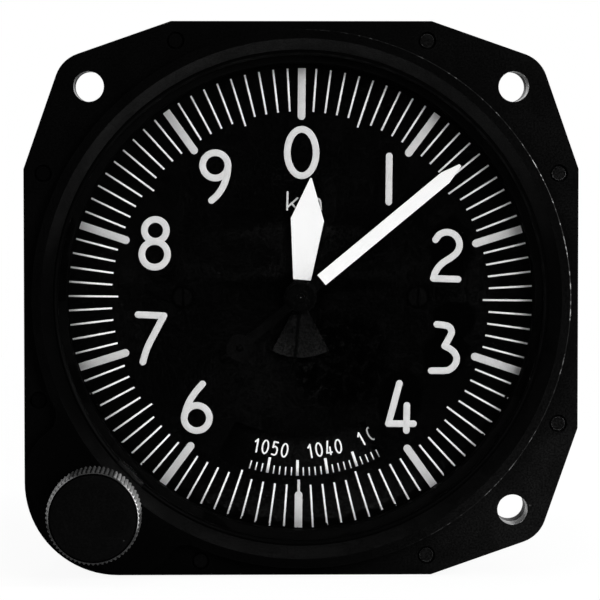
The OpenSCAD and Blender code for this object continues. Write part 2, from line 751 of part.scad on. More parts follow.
// Bearing plate: carries the dial, the pressure disc and the turning movement
module bearing_plate() {
    color("#8e9092") stand() difference() {
        union() {
            rod(plate_r, plate_back_z, plate_z);
            rod(platform_r, plate_z, dial_back_z);
            rod(platform_r + 2.5, plate_z, plate_shelf_z);
            rod(boss_r, boss_z, plate_back_z);
        }
        rod(pocket_r, pocket_z, dial_z);
        translate([-bridge_l / 2 - 0.1, -bridge_w / 2 - 0.1, bridge_z])
            cube([bridge_l + 0.2, bridge_w + 0.2, dial_z - bridge_z]);
        rod(movement_hub_r + fine_play, boss_z - through, pocket_z + through);
        for (s = [-1, 1]) {
            translate([s * dial_screw_x, 0, 0]) rod(dial_screw_d / 2 + press_gap, dial_back_z - 2.5, dial_z);
            translate([s * bridge_screw_x, 0, 0]) rod(0.6 + press_gap, bridge_z - 1.5, bridge_z + through);
        }
        for (a = lug_dirs) at(polar(lug_dist, a)) {
            rod(plate_screw_r + 0.1, plate_back_z - through, plate_z + through);
            translate([0, 0, plate_z - 1])
                cylinder(r1 = plate_screw_r + 0.1, r2 = plate_head_r + 0.1, h = 1);
        }
        at(idler_pos) rod(1.2 + press_gap, plate_back_z - through, plate_back_z + 1.4);
        at(motion_pos) rod(0.7 + press_gap, pocket_z - 0.9, pocket_z + through);
    }
}
module bearing_plate_screws() {
    color("#b9bbbd") stand() for (a = lug_dirs) at(polar(lug_dist, a)) difference() {
        union() {
            rod(plate_screw_r, lug_z + 0.5, plate_z - 0.9);
            translate([0, 0, plate_z - 1]) cylinder(r1 = plate_screw_r, r2 = plate_head_r, h = 0.95);
        }
        translate([-3, -0.25, plate_z - 0.5]) cube([6, 0.5, 1]);
    }
}
module motion_bridge() {
    color("#c2a14d") stand() difference() {
        union() {
            slab(bridge_z, bridge_top_z) square([bridge_l, bridge_w], center = true);
            rod(pipe_r, bridge_z, short_z - 0.2);
        }
        rod(pipe_in_r, bridge_z - through, short_z + through);
        for (s = [-1, 1]) translate([s * bridge_screw_x, 0, 0]) rod(0.65, bridge_z - through, bridge_top_z + through);
    }
}
module motion_bridge_screws() {
    color("#5b6f86") stand() for (s = [-1, 1]) translate([s * bridge_screw_x, 0, 0])
        screw(0.6, 1.1, bridge_z - 1.3, bridge_top_z, bridge_top_z + 0.7);
}
module motion_stud() {
    head_z = short_wheel_z0 + motion_t + 0.15;
    color("#9a9c9f") stand() at(motion_pos) {
        rod(0.7, pocket_z - 0.8, pocket_z);
        rod(motion_stud_r, pocket_z, head_z);
        rod(motion_bush_r + 0.2, head_z, head_z + 0.25);
    }
}
module idler_stud() {
    color("#9a9c9f") stand() at(idler_pos) {
        rod(1.2, plate_back_z, plate_back_z + 1.3);
        rod(2.6, setting_z + 0.1, plate_back_z);
        rod(1.5, setting_z - gear_t - 0.1, setting_z + 0.1);
        rod(2.6, setting_z - gear_t - 0.7, setting_z - gear_t - 0.1);
    }
}
module idler_gear() {
    color("#c2a14d") stand() at(idler_pos) difference() {
        slab(setting_z - gear_t, setting_z)
            polygon(gear_points(idler_z, setting_mod, setting_play, knob_dir + 180 / idler_z));
        rod(1.5 + fine_play, setting_z - gear_t - through, setting_z + through);
    }
}

// Knob and its shaft
module knob() {
    ridge = 360 / knurl_count;
    core_r = knob_r - knurl_depth;
    color("#1b1b1d") stand() at(knob_pos) difference() {
        union() {
            rod(core_r, knob_z, knob_top_z);
            slab(knob_z + knob_collar, knob_top_z - knob_collar) polygon([
                for (i = [0:knurl_count - 1]) each [
                    polar(knob_r, i * ridge), polar(core_r - bite, (i + 0.5) * ridge)
                ]
            ]);
        }
        rod(knob_shaft_r + press_gap, knob_z - through, knob_top_z - 2);
        translate([0, 0, knob_set_z()]) rotate([0, 90, knob_dir])
            cylinder(r = set_screw_d / 2 + press_gap, h = knob_r + through);
    }
}
function knob_set_z() = knob_z + knob_h * 0.4;
module knob_set_screw() {
    color("#55565a") stand() at(knob_pos) translate([0, 0, knob_set_z()]) rotate([0, 90, knob_dir])
        translate([0, 0, knob_shaft_r]) cylinder(r = set_screw_d / 2, h = 3.5);
}
module knob_shaft() {
    color("#a7a9ac") stand() at(knob_pos) difference() {
        union() {
            rod(knob_shaft_r, lobe_floor_z + 0.2, knob_top_z - 2.2);
            rod(journal_r, lobe_back_z - 0.6, lobe_floor_z + 0.2);
        }
        tube(knob_shaft_r + through, knob_shaft_r - 0.3, knob_bush_z - 0.75, knob_bush_z - 0.2);
    }
}
module shaft_clip() {
    clip_in_r = knob_shaft_r - 0.25;
    color("#8d8f92") stand() at(knob_pos) difference() {
        rod(clip_in_r + 1.3, knob_bush_z - 0.65, knob_bush_z - 0.25);
        rod(clip_in_r, knob_bush_z - through, knob_bush_z + through);
        translate([0, -0.8, knob_bush_z - 1.5]) cube([5, 1.6, 3]);
    }
}
module knob_bush() {
    color("#b08d3c") stand() at(knob_pos) difference() {
        union() {
            rod(knob_bush_d / 2, knob_bush_z, ring_h);
            rod(knob_bush_d / 2 + 1.2, ring_h, ring_h + 0.5);
        }
        rod(knob_shaft_r + fine_play, knob_bush_z - through, knob_z + through);
        rod(knob_shaft_r + 1.02, knob_bush_z - through, knob_bush_z + 1.1);
    }
}
module knob_seal() {
    color("#101010") stand() at(knob_pos) rotate_extrude()
        translate([knob_shaft_r + 0.53, knob_bush_z + 0.6]) circle(0.47);
}
module setting_pinion(z_top, t) {
    at(knob_pos) difference() {
        slab(z_top - t, z_top)
            polygon(gear_points(setting_pinion_z, setting_mod, setting_play, knob_dir + 180));
        rod(knob_shaft_r + press_gap, z_top - t - through, z_top + through);
    }
}
module disc_pinion() { color("#c2a14d") stand() setting_pinion(scale_z + 0.1, disc_t + 0.2); }
module movement_pinion() { color("#c2a14d") stand() setting_pinion(setting_z, gear_t); }

// Movement frame
module movement_gear_plate() {
    color("#b99a4a") stand() difference() {
        union() {
            slab(gear_plate_back_z, gear_plate_z)
                polygon(gear_points(movement_z, setting_mod, setting_play, knob_dir));
            rod(movement_hub_r, gear_plate_z, pocket_z - 0.3);
        }
        rod(pipe_in_r, gear_plate_back_z - through, plate_z);
        at(polar(15, 230)) rod(5, gear_plate_back_z - through, gear_plate_z + through);
        at(polar(15, 96)) rod(4.4, gear_plate_back_z - through, gear_plate_z + through);
        for (a = pillar_dirs) at(polar(pillar_dist, a)) rod(1 + press_gap, gear_plate_back_z - through, gear_plate_z + through);
        at(intermediate_pos) rod(bush_r + press_gap, gear_plate_back_z - through, gear_plate_z + through);
        at(rocker_pos) rod(bush_r + press_gap, gear_plate_back_z - through, gear_plate_z + through);
        for (p = cock_feet) at(p) rod(0.8 + press_gap, gear_plate_back_z - through, gear_plate_z + through);
    }
}
module movement_rear_plate() {
    color("#b99a4a") stand() difference() {
        rod(rear_plate_r, rear_plate_back_z, rear_plate_z);
        at(polar(13, 232)) rod(4.5, rear_plate_back_z - through, rear_plate_z + through);
        at(polar(14, 350)) rod(6, rear_plate_back_z - through, rear_plate_z + through);
        rod(3, rear_plate_back_z - through, rear_plate_z + through);
        for (a = pillar_dirs) at(polar(pillar_dist, a)) rod(0.9, rear_plate_back_z - through, rear_plate_z + through);
        at(intermediate_pos) rod(bush_r + press_gap, rear_plate_back_z - through, rear_plate_z + through);
        at(rocker_pos) rod(rocker_d / 2 + 0.3, rear_plate_back_z - through, rear_plate_z + through);
        for (s = [-1, 1]) translate([capsule_x + s * foot_screw_x, foot_screw_y, 0])
            rod(0.8 + press_gap, rear_plate_back_z - through, rear_plate_z + through);
        at(polar(7.2, intermediate_dir - 40) + intermediate_pos) rod(0.4 + press_gap, rear_plate_back_z, rear_plate_z + through);
    }
}
module movement_pillars() {
    color("#a7a9ac") stand() for (a = pillar_dirs) at(polar(pillar_dist, a)) difference() {
        union() {
            rod(pillar_r, rear_plate_z, gear_plate_back_z);
            rod(1, gear_plate_back_z, gear_plate_z - 0.1);
        }
        rod(0.8 + press_gap, rear_plate_z - through, rear_plate_z + 4);
    }
}
module pillar_screws() {
    color("#5b6f86") stand() for (a = pillar_dirs) at(polar(pillar_dist, a)) rotate([180, 0, 0])
        screw(0.8, 1.7, -rear_plate_z - 3.5, -rear_plate_back_z, 1 - rear_plate_back_z);
}
module centre_cock() {
    color("#b99a4a") stand() difference() {
        union() {
            slab(cock_back_z, cock_z) union() {
                circle(2.6);
                polygon(concat([[0, 0]], cock_feet));
                for (p = cock_feet) {
                    at(p) circle(cock_foot_r);
                    rotate(direction(p)) translate([0, -1.7]) square([norm(p), 3.4]);
                }
            }
            for (p = cock_feet) at(p) rod(cock_foot_r, cock_z, gear_plate_back_z);
        }
        rod(pivot_r + fine_play, cock_back_z - through, cock_z + through);
        for (p = cock_feet) at(p) rod(0.9, cock_back_z - through, gear_plate_back_z + through);
    }
}
module cock_screws() {
    color("#5b6f86") stand() for (p = cock_feet) at(p) rotate([180, 0, 0])
        screw(0.8, 1.6, 0.3 - gear_plate_z, -cock_back_z, 0.8 - cock_back_z);
}
module pivot_bushes() {
    color("#d9b65a") stand() {
        at(intermediate_pos) tube(bush_r, pivot_r + fine_play, gear_plate_back_z, gear_plate_z);
        at(rocker_pos) tube(bush_r, rocker_pivot_r + fine_play, gear_plate_back_z, gear_plate_z);
        at(intermediate_pos) tube(bush_r, pivot_r + fine_play, rear_plate_back_z, rear_plate_z);
        at(rocker_pos) tube(bush_r, rocker_pivot_r + fine_play, capsule_rear_back_z, capsule_rear_z);
    }
}

// Channel of bent plate under the capsules, with the movement's rear pivot
module capsule_frame() {
    d0 = -rear_plate_back_z;
    d1 = -capsule_rear_back_z;
    t = capsule_frame_t;
    foot_t = 1.5;
    color("#9fa1a4") stand() difference() {
        union() {
            translate([capsule_x - capsule_frame_w / 2, 0, 0]) rotate([0, 90, 0])
                linear_extrude(capsule_frame_w) difference() {
                    translate([d0, bed_y - t]) square([d1 - d0, t + capsule_bed - 10]);
                    translate([d0 + foot_t, bed_y]) square([d1 - d0 - foot_t - t, 40]);
                    translate([d0 - through, foot_screw_y + 3]) square([foot_t + 2 * through, 40]);
                }
            slab(capsule_rear_back_z, capsule_rear_z) union() {
                circle(3.4);
                at(rocker_pos) circle(3);
                polygon([
                    [capsule_x - capsule_frame_w / 2, bed_y], [capsule_x + capsule_frame_w / 2, bed_y],
                    [rocker_pos.x + 3, rocker_pos.y], [rocker_pos.x - 3, rocker_pos.y], [-3.4, 0]
                ]);
            }
            rod(rear_pivot_r, rear_pivot_z, capsule_rear_back_z);
        }
        at(rocker_pos) rod(bush_r + press_gap, capsule_rear_back_z - through, capsule_rear_z + through);
        for (s = [-1, 1]) translate([capsule_x + s * foot_screw_x, foot_screw_y, 0])
            rod(0.9, -d0 - foot_t - through, -d0 + through);
        translate([capsule_x, bed_y + through, rocker_arm_z]) rotate([90, 0, 0])
            cylinder(r = 1.6 + press_gap, h = t + 2 * through);
    }
}
module capsule_frame_screws() {
    seat = 1.5 - rear_plate_back_z;
    color("#5b6f86") stand() for (s = [-1, 1]) translate([capsule_x + s * foot_screw_x, foot_screw_y, 0])
        rotate([180, 0, 0]) screw(0.8, 1.5, 0.1 - rear_plate_z, seat, seat + 0.9);
}
module upright(y) { translate([capsule_x, y, rocker_arm_z]) rotate([-90, 0, 0]) children(); }
module capsule_base() {
    low = bed_y - capsule_frame_t;
    color("#a7a9ac") stand() {
        upright(bed_y) cylinder(r = 4, h = capsule_foot_y - bed_y - 0.02);
        upright(low - 1.9) cylinder(r = 1.6, h = bed_y - low + 2);
        upright(low - 1.7) difference() {
            cylinder(r = 3.2, h = 1.7, $fn = 6);
            translate([0, 0, -through]) cylinder(r = 1.4, h = 4);
        }
    }
}
// Half height of a capsule's face at radius r, from a flat centre over the waves to the rim
function capsule_face(r) =
    let (centre = 4, rim = capsule_d / 2 - 2, s = (r - centre) / (rim - centre))
    r <= centre ? capsule_h / 2
    : r >= rim ? capsule_wall
    : capsule_wall + (capsule_h / 2 - capsule_wall) * (1 - s * s)
        - corrugation * (1 - cos(360 * corrugation_count * s));
module capsule(hole_r) {
    steps = 4 * corrugation_count + 1;
    centre = 4;
    rim = capsule_d / 2 - 2;
    rs = concat([for (i = [0:steps]) centre + (rim - centre) * i / steps], [capsule_d / 2]);
    inner = [for (i = [0:steps]) if (capsule_face(rs[i]) > 2 * capsule_wall) rs[i]];
    rotate_extrude() difference() {
        polygon(concat(
            [[hole_r, capsule_face(0)]], [for (r = rs) [r, capsule_face(r)]],
            [for (i = [len(rs) - 1:-1:0]) [rs[i], -capsule_face(rs[i])]], [[hole_r, -capsule_face(0)]]
        ));
        polygon(concat(
            [[hole_r - through, capsule_face(0) - capsule_wall]],
            [for (r = inner) [r, capsule_face(r) - capsule_wall]],
            [for (i = [len(inner) - 1:-1:0]) [inner[i], capsule_wall - capsule_face(inner[i])]],
            [[hole_r - through, capsule_wall - capsule_face(0)]]
        ));
    }
}
module lower_capsule() {
    color("#c8b27a") stand() upright(capsule_foot_y + capsule_h / 2) capsule(1.2);
}
module upper_capsule() {
    middle = capsule_top_y - capsule_h / 2;
    color("#c8b27a") stand() {
        upright(middle) capsule(1.2);
        upright(middle - capsule_h / 2 - capsule_gap) tubular(2.6, 1.2, capsule_gap);
    }
}
module tubular(r_out, r_in, h) {
    difference() {
        cylinder(r = r_out, h = h);
        translate([0, 0, -through]) cylinder(r = r_in, h = h + 2 * through);
    }
}
module capsule_post() {
    jaw = arm_t / 2 + 0.3;
    cheek = 1;
    floor_y = link_pin_y - 2.9;
    side = 1.6;
    color("#a7a9ac") stand() difference() {
        union() {
            upright(capsule_top_y + 0.02) cylinder(r = 3, h = 0.8);
            upright(capsule_top_y + 0.02) cylinder(r = 1.2, h = floor_y - capsule_top_y - 1);
            translate([capsule_x - side, floor_y - 1.5, rocker_arm_z - jaw - cheek])
                cube([2 * side, link_pin_y + 1.6 - floor_y + 1.5, 2 * (jaw + cheek)]);
        }
        translate([capsule_x - side - through, floor_y, rocker_arm_z - jaw])
            cube([2 * (side + through), 20, 2 * jaw]);
        translate([capsule_x, link_pin_y, 0]) rod(link_pin_d / 2 + press_gap, rocker_arm_z - 5, rocker_arm_z + 5);
    }
}
module link_pin() {
    reach = arm_t / 2 + 1.5;
    color("#d0d2d4") stand() translate([capsule_x, link_pin_y, 0])
        rod(link_pin_d / 2, rocker_arm_z - reach, rocker_arm_z + reach);
}

// Rocking shaft, sector and train
module rocking_shaft() {
    color("#a7a9ac") stand() at(rocker_pos) {
        rod(rocker_d / 2, capsule_rear_z + 0.2, gear_plate_back_z - 0.2);
        rod(rocker_pivot_r, capsule_rear_back_z + 0.2, capsule_rear_z + 0.2);
        rod(rocker_pivot_r, gear_plate_back_z - 0.2, gear_plate_z - 0.2);
    }
}
module sector_gear() {
    rim_r = train_mod * (sector_z / 2 - dedendum);
    first_dir = contact_dir + (sector_first + 0.5) * sector_pitch;
    last_dir = contact_dir + (sector_last + 0.5) * sector_pitch;
    teeth = [for (i = [sector_first:sector_last])
        each tooth(contact_dir + (i + 0.5) * sector_pitch, sector_z, train_mod, train_play)];
    window = 7;
    color("#c2a14d") stand() at(rocker_pos) difference() {
        union() {
            slab(sector_z0 - sector_t, sector_z0) difference() {
                polygon(concat([[0, 0]], teeth));
                intersection() {
                    difference() {
                        circle(rim_r - 2);
                        circle(5);
                    }
                    polygon([[0, 0], polar(rim_r * 1.3, first_dir + window),
                        polar(rim_r * 1.3, last_dir - window)]);
                }
            }
            rod(2.3, sector_z0 - sector_t - 0.8, sector_z0 + 0.6);
        }
        rod(rocker_d / 2 + press_gap, sector_z0 - 5, sector_z0 + 5);
    }
}
module rocker_arm() {
    reach = arm_l / cos(rocker_rest + 2.5) + link_pin_d;
    fork = link_pin_d / 2 + 0.12;
    color("#c2a14d") stand() at(rocker_pos) rotate(180 + rocker_rest) difference() {
        union() {
            rod(2, rocker_arm_z - arm_t / 2 - 0.6, rocker_arm_z + arm_t / 2 + 0.6);
            translate([0, -1.3, rocker_arm_z - arm_t / 2]) cube([reach, 2.6, arm_t]);
        }
        rod(rocker_d / 2 + press_gap, rocker_arm_z - 5, rocker_arm_z + 5);
        translate([arm_l - link_pin_d, -fork, rocker_arm_z - arm_t]) cube([reach, 2 * fork, 2 * arm_t]);
    }
}
module intermediate_arbor() {
    pinion_root = train_mod * (intermediate_pinion_z / 2 - dedendum);
    color("#a7a9ac") stand() at(intermediate_pos) {
        rod(min(arbor_d / 2, pinion_root), rear_plate_z + 0.4, gear_plate_back_z - 0.4);
        rod(pivot_r, rear_plate_z + 0.4, rear_plate_back_z + 0.3);
        rod(pivot_r, gear_plate_back_z - 0.4, gear_plate_z - 0.3);
        slab(pinion_z0 - sector_t - 1, pinion_z0) polygon(gear_points(
            intermediate_pinion_z, train_mod, train_play, contact_dir + 180
        ));
        rod(1.5, spring_z - spring_h - 0.2, spring_z + 0.2);
    }
}
module intermediate_wheel() {
    rim_r = train_mod * (intermediate_wheel_z / 2 - dedendum);
    color("#c2a14d") stand() at(intermediate_pos) difference() {
        union() {
            slab(wheel_z - wheel_t, wheel_z) difference() {
                polygon(gear_points(intermediate_wheel_z, train_mod, train_play,
                    intermediate_dir + 180 + 180 / intermediate_wheel_z));
                difference() {
                    circle(rim_r - 1.3);
                    circle(3);
                    for (a = [0, 90]) rotate(a) square([2 * rim_r, 1.6], center = true);
                }
            }
            rod(2, wheel_z - wheel_t - 0.4, wheel_z + 0.4);
        }
        rod(arbor_d / 2 + press_gap, wheel_z - 5, wheel_z + 5);
    }
}
module hairspring() {
    turns = 4;
    inner = 1.65;
    outer = 6.2;
    t = 0.16;
    steps = 20;
    function coil(i, s) = let (u = i / steps / turns)
        polar(inner + (outer - inner) * u + s * t / 2, intermediate_dir - 40 + 360 * i / steps);
    color("#3e5f8f") stand() at(intermediate_pos) slab(spring_z - spring_h, spring_z) polygon(concat(
        [for (i = [0:turns * steps]) coil(i, 1)], [for (i = [turns * steps:-1:0]) coil(i, -1)]
    ));
}
module hairspring_stud() {
    color("#a7a9ac") stand() at(polar(7.2, intermediate_dir - 40) + intermediate_pos) {
        rod(0.4, rear_plate_z - 1, rear_plate_z);
        rod(0.9, rear_plate_z, spring_z + 0.4);
    }
}
module centre_staff() {
    color("#c9cbcd") stand() {
        rod(staff_r, cock_z + 0.3, cap_top_z);
        rod(pivot_r, cock_back_z + 0.2, cock_z + 0.3);
        slab(wheel_z - wheel_t - 0.4, wheel_z + 0.4) polygon(gear_points(
            centre_pinion_z, train_mod, train_play, intermediate_dir
        ));
    }
}

// Pointers and the ten-to-one gears between them
module motion_pinion() {
    color("#d9b65a") stand() difference() {
        slab(motion_z, motion_z + motion_t)
            polygon(gear_points(motion_pinion_z, motion_mod, train_play, 90));
        rod(staff_r + press_gap, motion_z - through, motion_z + 2);
    }
}
module motion_bush() {
    color("#d9b65a") stand() at(motion_pos)
        tube(motion_bush_r, motion_stud_r + fine_play, motion_z - 0.1, short_wheel_z0 + motion_t + 0.08);
}
module motion_wheel() {
    color("#c2a14d") stand() at(motion_pos) difference() {
        union() {
            slab(motion_z, motion_z + motion_t) polygon(gear_points(
                motion_wheel_z, motion_mod, train_play, 270 + 180 / motion_wheel_z
            ));
            rod(1.15, motion_z + motion_t, short_wheel_z0);
            slab(short_wheel_z0, short_wheel_z0 + motion_t)
                polygon(gear_points(motion_small_z, motion_mod, train_play, 270));
        }
        rod(motion_bush_r + fine_play, motion_z - through, short_wheel_z0 + 2);
    }
}
module short_sleeve() {
    color("#d9b65a") stand() tube(sleeve_r, sleeve_in_r, sleeve_z[0], sleeve_z[1]);
}
module short_wheel() {
    color("#c2a14d") stand() difference() {
        union() {
            slab(short_wheel_z0, short_wheel_z0 + motion_t) polygon(gear_points(
                short_wheel_z, motion_mod, train_play, 90 + 180 / short_wheel_z
            ));
            rod(tube_r, short_wheel_z0 + motion_t, short_z + pointer_t + 0.1);
        }
        rod(tube_in_r, short_wheel_z0 - through, long_z);
    }
}
module short_pointer() {
    turn = 90 - long_reading / 10;
    color("#e8e8e6") stand() difference() {
        union() {
            slab(short_z, short_z + pointer_t) {
                rotate(turn) polygon([
                    [0, short_root_w / 2], [short_wide_at, short_w / 2], [short_tip, 0.12],
                    [short_tip, -0.12], [short_wide_at, -short_w / 2], [0, -short_root_w / 2]
                ]);
                intersection() {
                    circle(fan_r);
                    polygon([[0, 0], polar(2 * fan_r, 270 - fan_half), polar(2 * fan_r, 270 + fan_half)]);
                }
            }
            rod(short_hub_r, short_z, short_z + pointer_t + 0.2);
        }
        rod(tube_r + press_gap, short_z - through, short_z + 2);
    }
}
module long_pointer() {
    tail_w = 1.35;
    color("#e8e8e6") stand() rotate(90 - long_reading) difference() {
        union() {
            slab(long_z, long_z + pointer_t) {
                polygon([
                    [0, long_w / 2], [long_shoulder, long_w / 2], [long_tip, 0.22],
                    [long_tip, -0.22], [long_shoulder, -long_w / 2], [0, -long_w / 2]
                ]);
                translate([-long_weight_r, -tail_w / 2]) square([long_weight_r, tail_w]);
                translate([-long_weight_r, 0]) circle(long_weight_d / 2);
            }
            rod(cap_r + 0.15, long_z - 0.15, long_z + pointer_t);
        }
        translate([-long_weight_r, 0, 0]) rod(0.4, long_z - through, long_z + through);
        rod(staff_r + press_gap, long_z - through, long_z + 2);
    }
}
module pointer_cap() {
    color("#252528") stand() difference() {
        rod(cap_r, cap_z - 0.1, cap_top_z);
        rod(staff_r + press_gap, cap_z - through, cap_top_z + through);
    }
}

front_frame();
case_body();
frame_gasket();
frame_screws();
glass();
glass_seal();
glass_retaining_ring();
dial_plate();
dial_screws();
bearing_plate();
bearing_plate_screws();
motion_bridge();
motion_bridge_screws();
motion_stud();
idler_stud();
knob_bush();
knob_seal();
rear_bearing();
static_port();
port_seal();
knob();
knob_set_screw();
knob_shaft();
shaft_clip();
disc_pinion();
movement_pinion();
pressure_disc();
idler_gear();
movement_gear_plate();
movement_rear_plate();
movement_pillars();
pillar_screws();
centre_cock();
cock_screws();
capsule_frame();
capsule_frame_screws();
capsule_base();
lower_capsule();
upper_capsule();
hairspring();
hairspring_stud();
pivot_bushes();
capsule_post();
link_pin();
rocking_shaft();
sector_gear();
rocker_arm();
intermediate_arbor();
intermediate_wheel();
centre_staff();
motion_pinion();
long_pointer();
pointer_cap();
short_sleeve();
short_wheel();
short_pointer();
motion_bush();
motion_wheel();
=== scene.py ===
import math

import bmesh
import bpy
import numpy as np
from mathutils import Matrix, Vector


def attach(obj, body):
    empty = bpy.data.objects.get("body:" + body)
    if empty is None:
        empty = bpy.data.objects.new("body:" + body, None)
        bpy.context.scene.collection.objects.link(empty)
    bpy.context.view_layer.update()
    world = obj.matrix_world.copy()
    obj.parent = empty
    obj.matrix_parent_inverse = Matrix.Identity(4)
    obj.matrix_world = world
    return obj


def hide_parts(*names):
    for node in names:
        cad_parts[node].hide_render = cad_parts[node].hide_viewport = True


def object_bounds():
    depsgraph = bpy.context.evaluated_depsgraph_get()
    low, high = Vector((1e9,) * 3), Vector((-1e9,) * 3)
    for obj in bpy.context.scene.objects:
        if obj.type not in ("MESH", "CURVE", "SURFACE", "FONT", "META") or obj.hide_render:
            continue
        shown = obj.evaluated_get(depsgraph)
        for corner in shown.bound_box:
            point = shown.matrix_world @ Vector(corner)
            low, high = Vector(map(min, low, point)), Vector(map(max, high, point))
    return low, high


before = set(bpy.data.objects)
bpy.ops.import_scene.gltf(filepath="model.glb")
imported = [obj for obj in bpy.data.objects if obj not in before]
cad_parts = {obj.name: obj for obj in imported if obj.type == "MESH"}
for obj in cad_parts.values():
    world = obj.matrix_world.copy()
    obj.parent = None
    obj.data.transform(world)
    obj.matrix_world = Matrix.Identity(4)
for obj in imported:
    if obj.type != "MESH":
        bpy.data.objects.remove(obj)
cad_box = [[float(c) for c in corner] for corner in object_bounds()]

MM = 0.001

# Depths and places that the printing, the paint and the knob sit on
DIAL_Z = -9.0
SCALE_Z = -10.6
LONG_Z = -6.0
CAP_R = 2.03
WALL_R = 35.0
OPENING_R = 36.1
WIRE_R = 36.35
BEVEL_FROM, BEVEL_TO = 36.5, 38.4
RING_R = 39.85
HOLE_OUT = 31.435
HOLE_R = 2.25
DIAL_SCREW_X = 17.65
LONG_TURN = 50.4
SHORT_TURN = 5.04
LONG_TAIL_R = 11.9
RIVET_R = 0.56
RIVET_RISE = 0.26

KNOB_X, KNOB_Y = -30.574, -31.363
KNOB_BACK, KNOB_TOP = 3.0, 11.0
KNOB_R = 6.97
KNOB_FACE_R = 6.3
KNOB_BORE_R = 1.56
KNOB_BORE_END = 2.05
RIDGES = 64
RIDGE_DEPTH = 0.35
RIDGE_STEPS = 8
SET_SCREW_DIR = 225.73
SET_SCREW_R = 1.02
SET_SCREW_Z = 6.2
SET_SCREW_OUT = 5.05

# The ring of bars sits half a degree clockwise of upright and a little low, and each
# tenth of it is a hair out of place, as right and up in millimetres
DIAL_TURN = 0.57
PRINT_X, PRINT_Y = 0.01, -0.33
PRINT_WIDE = 1.0035
BARS_OUT = np.array([(-0.13, 0.01), (-0.14, -0.10), (0.12, 0.12), (0.16, 0.01), (0.14, -0.23),
                     (0.01, 0.09), (-0.14, -0.10), (-0.05, 0.12), (-0.11, 0.12), (0.0, -0.05),
                     (-0.13, 0.01)])
LINES_END = 34.6
BAR_FROM, FIFTH_FROM, LINE_FROM = 26.85, 27.2, 28.14
INDEX_FROM, INDEX_END, INDEX_BAR_FROM = 27.28, 29.5, 29.1
BAR_WIDTH, LINE_WIDTH, INDEX_WIDTH = 1.2, 0.29, 0.42
NUMERAL_WIDTH, UNIT_WIDTH = 1.04, 0.30
NUMERALS = {"0": (0.19, 21.65), "1": (13.33, 17.70), "2": (21.89, 6.25), "3": (21.54, -7.66),
            "4": (15.07, -16.65), "6": (-15.65, -16.60), "7": (-22.47, -6.24),
            "8": (-21.92, 8.13), "9": (-12.78, 18.07)}
UNIT_SHIFT = (-0.05, -0.2)

# Pressure scale: its step in degrees for each unit, and its own setting
SCALE_TURN = 0.95
SCALE_STEP = 1.94
SET_PRESSURE = 1045
LOW_PRESSURE, HIGH_PRESSURE = 940, 1053
MARKS_END = 27.1
FIVES_FROM, UNITS_FROM = 24.75, 25.85
FIVES_WIDTH, UNITS_WIDTH, LABEL_WIDTH = 0.42, 0.2, 0.26
LABEL_R = 23.31
LABEL_SIZE = (0.2, 0.285)


# Shapes

def to_object(x, y, z):
    """Dial drawing coordinates in millimetres to the object's frame in metres."""
    return np.stack([x, -np.asarray(z), y], axis=-1) * MM


def heading(degrees):
    """Right and up parts of a step of one in a direction."""
    a = math.radians(degrees)
    return np.array([math.cos(a), math.sin(a)])


def grid_faces(rows, cols, around=False):
    """Quads of a grid of points, row by row; around joins the last column to the first."""
    r = np.arange(rows - 1)[:, None]
    c = np.arange(cols if around else cols - 1)[None, :]
    d = (c + 1) % cols
    quads = np.stack([r * cols + c, r * cols + d, (r + 1) * cols + d, (r + 1) * cols + c], -1)
    return quads.reshape(-1, 4)


def add_piece(name, parts, body, material, shut=False):
    """One mesh object from a list of (points, faces), riding on a body with a finish.
    Points that coincide, as at a pole, are merged. The faces of a shut shell are turned
    outwards, and those of paint or compound that lies on a face are turned to the reader,
    by the sign of the depth in the cross product of each quad's diagonals."""
    points, faces, start = [], [], 0
    for pts, quads in parts:
        rows = np.asarray(pts, dtype=float).reshape(-1, 3)
        points.append(rows)
        faces.append(quads + start)
        start += len(rows)
    points, faces = np.concatenate(points), np.concatenate(faces)
    if not shut:
        corner = points[faces]
        normal = np.cross(corner[:, 2] - corner[:, 0], corner[:, 3] - corner[:, 1])
        faces = np.where(normal[:, 1:2] > 0, faces[:, ::-1], faces)
    mesh = bpy.data.meshes.new(name)
    mesh.from_pydata(points.tolist(), [], faces.tolist())
    shell = bmesh.new()
    shell.from_mesh(mesh)
    bmesh.ops.remove_doubles(shell, verts=shell.verts, dist=1e-7)
    if shut:
        bmesh.ops.recalc_face_normals(shell, faces=shell.faces)
    shell.to_mesh(mesh)
    shell.free()
    mesh.polygons.foreach_set("use_smooth", np.full(len(mesh.polygons), True))
    mesh.update()
    mesh.materials.append(material)
    piece = bpy.data.objects.new(name, mesh)
    bpy.context.scene.collection.objects.link(piece)
    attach(piece, body)
    return piece


def arc(cx, cy, r, first, last, steps=24, tall=1.0):
    """Points on an ellipse: centre plus r times (cos, tall sin) between two angles."""
    a = np.radians(np.linspace(first, last, steps + 1))
    return np.stack([cx + r * np.cos(a), cy + r * tall * np.sin(a)], -1)


def straight(*points):
    """Straight runs from point to point."""
    return np.array(points, dtype=float)


def flowing(*points, steps=6):
    """Catmull-Rom curve: each span is a cubic whose end slopes are half the chord
    between the neighbours on both sides."""
    p = np.array(points, dtype=float)
    p = np.concatenate([[2 * p[0] - p[1]], p, [2 * p[-1] - p[-2]]])
    t = np.linspace(0, 1, steps, endpoint=False)[:, None]
    spans = []
    for a, b, c, d in zip(p[:-3], p[1:-2], p[2:-1], p[3:]):
        spans.append(0.5 * (2 * b + (c - a) * t + (2 * a - 5 * b + 4 * c - d) * t ** 2
                            + (3 * b - a - 3 * c + d) * t ** 3))
    return np.concatenate(spans + [p[-2:-1]])


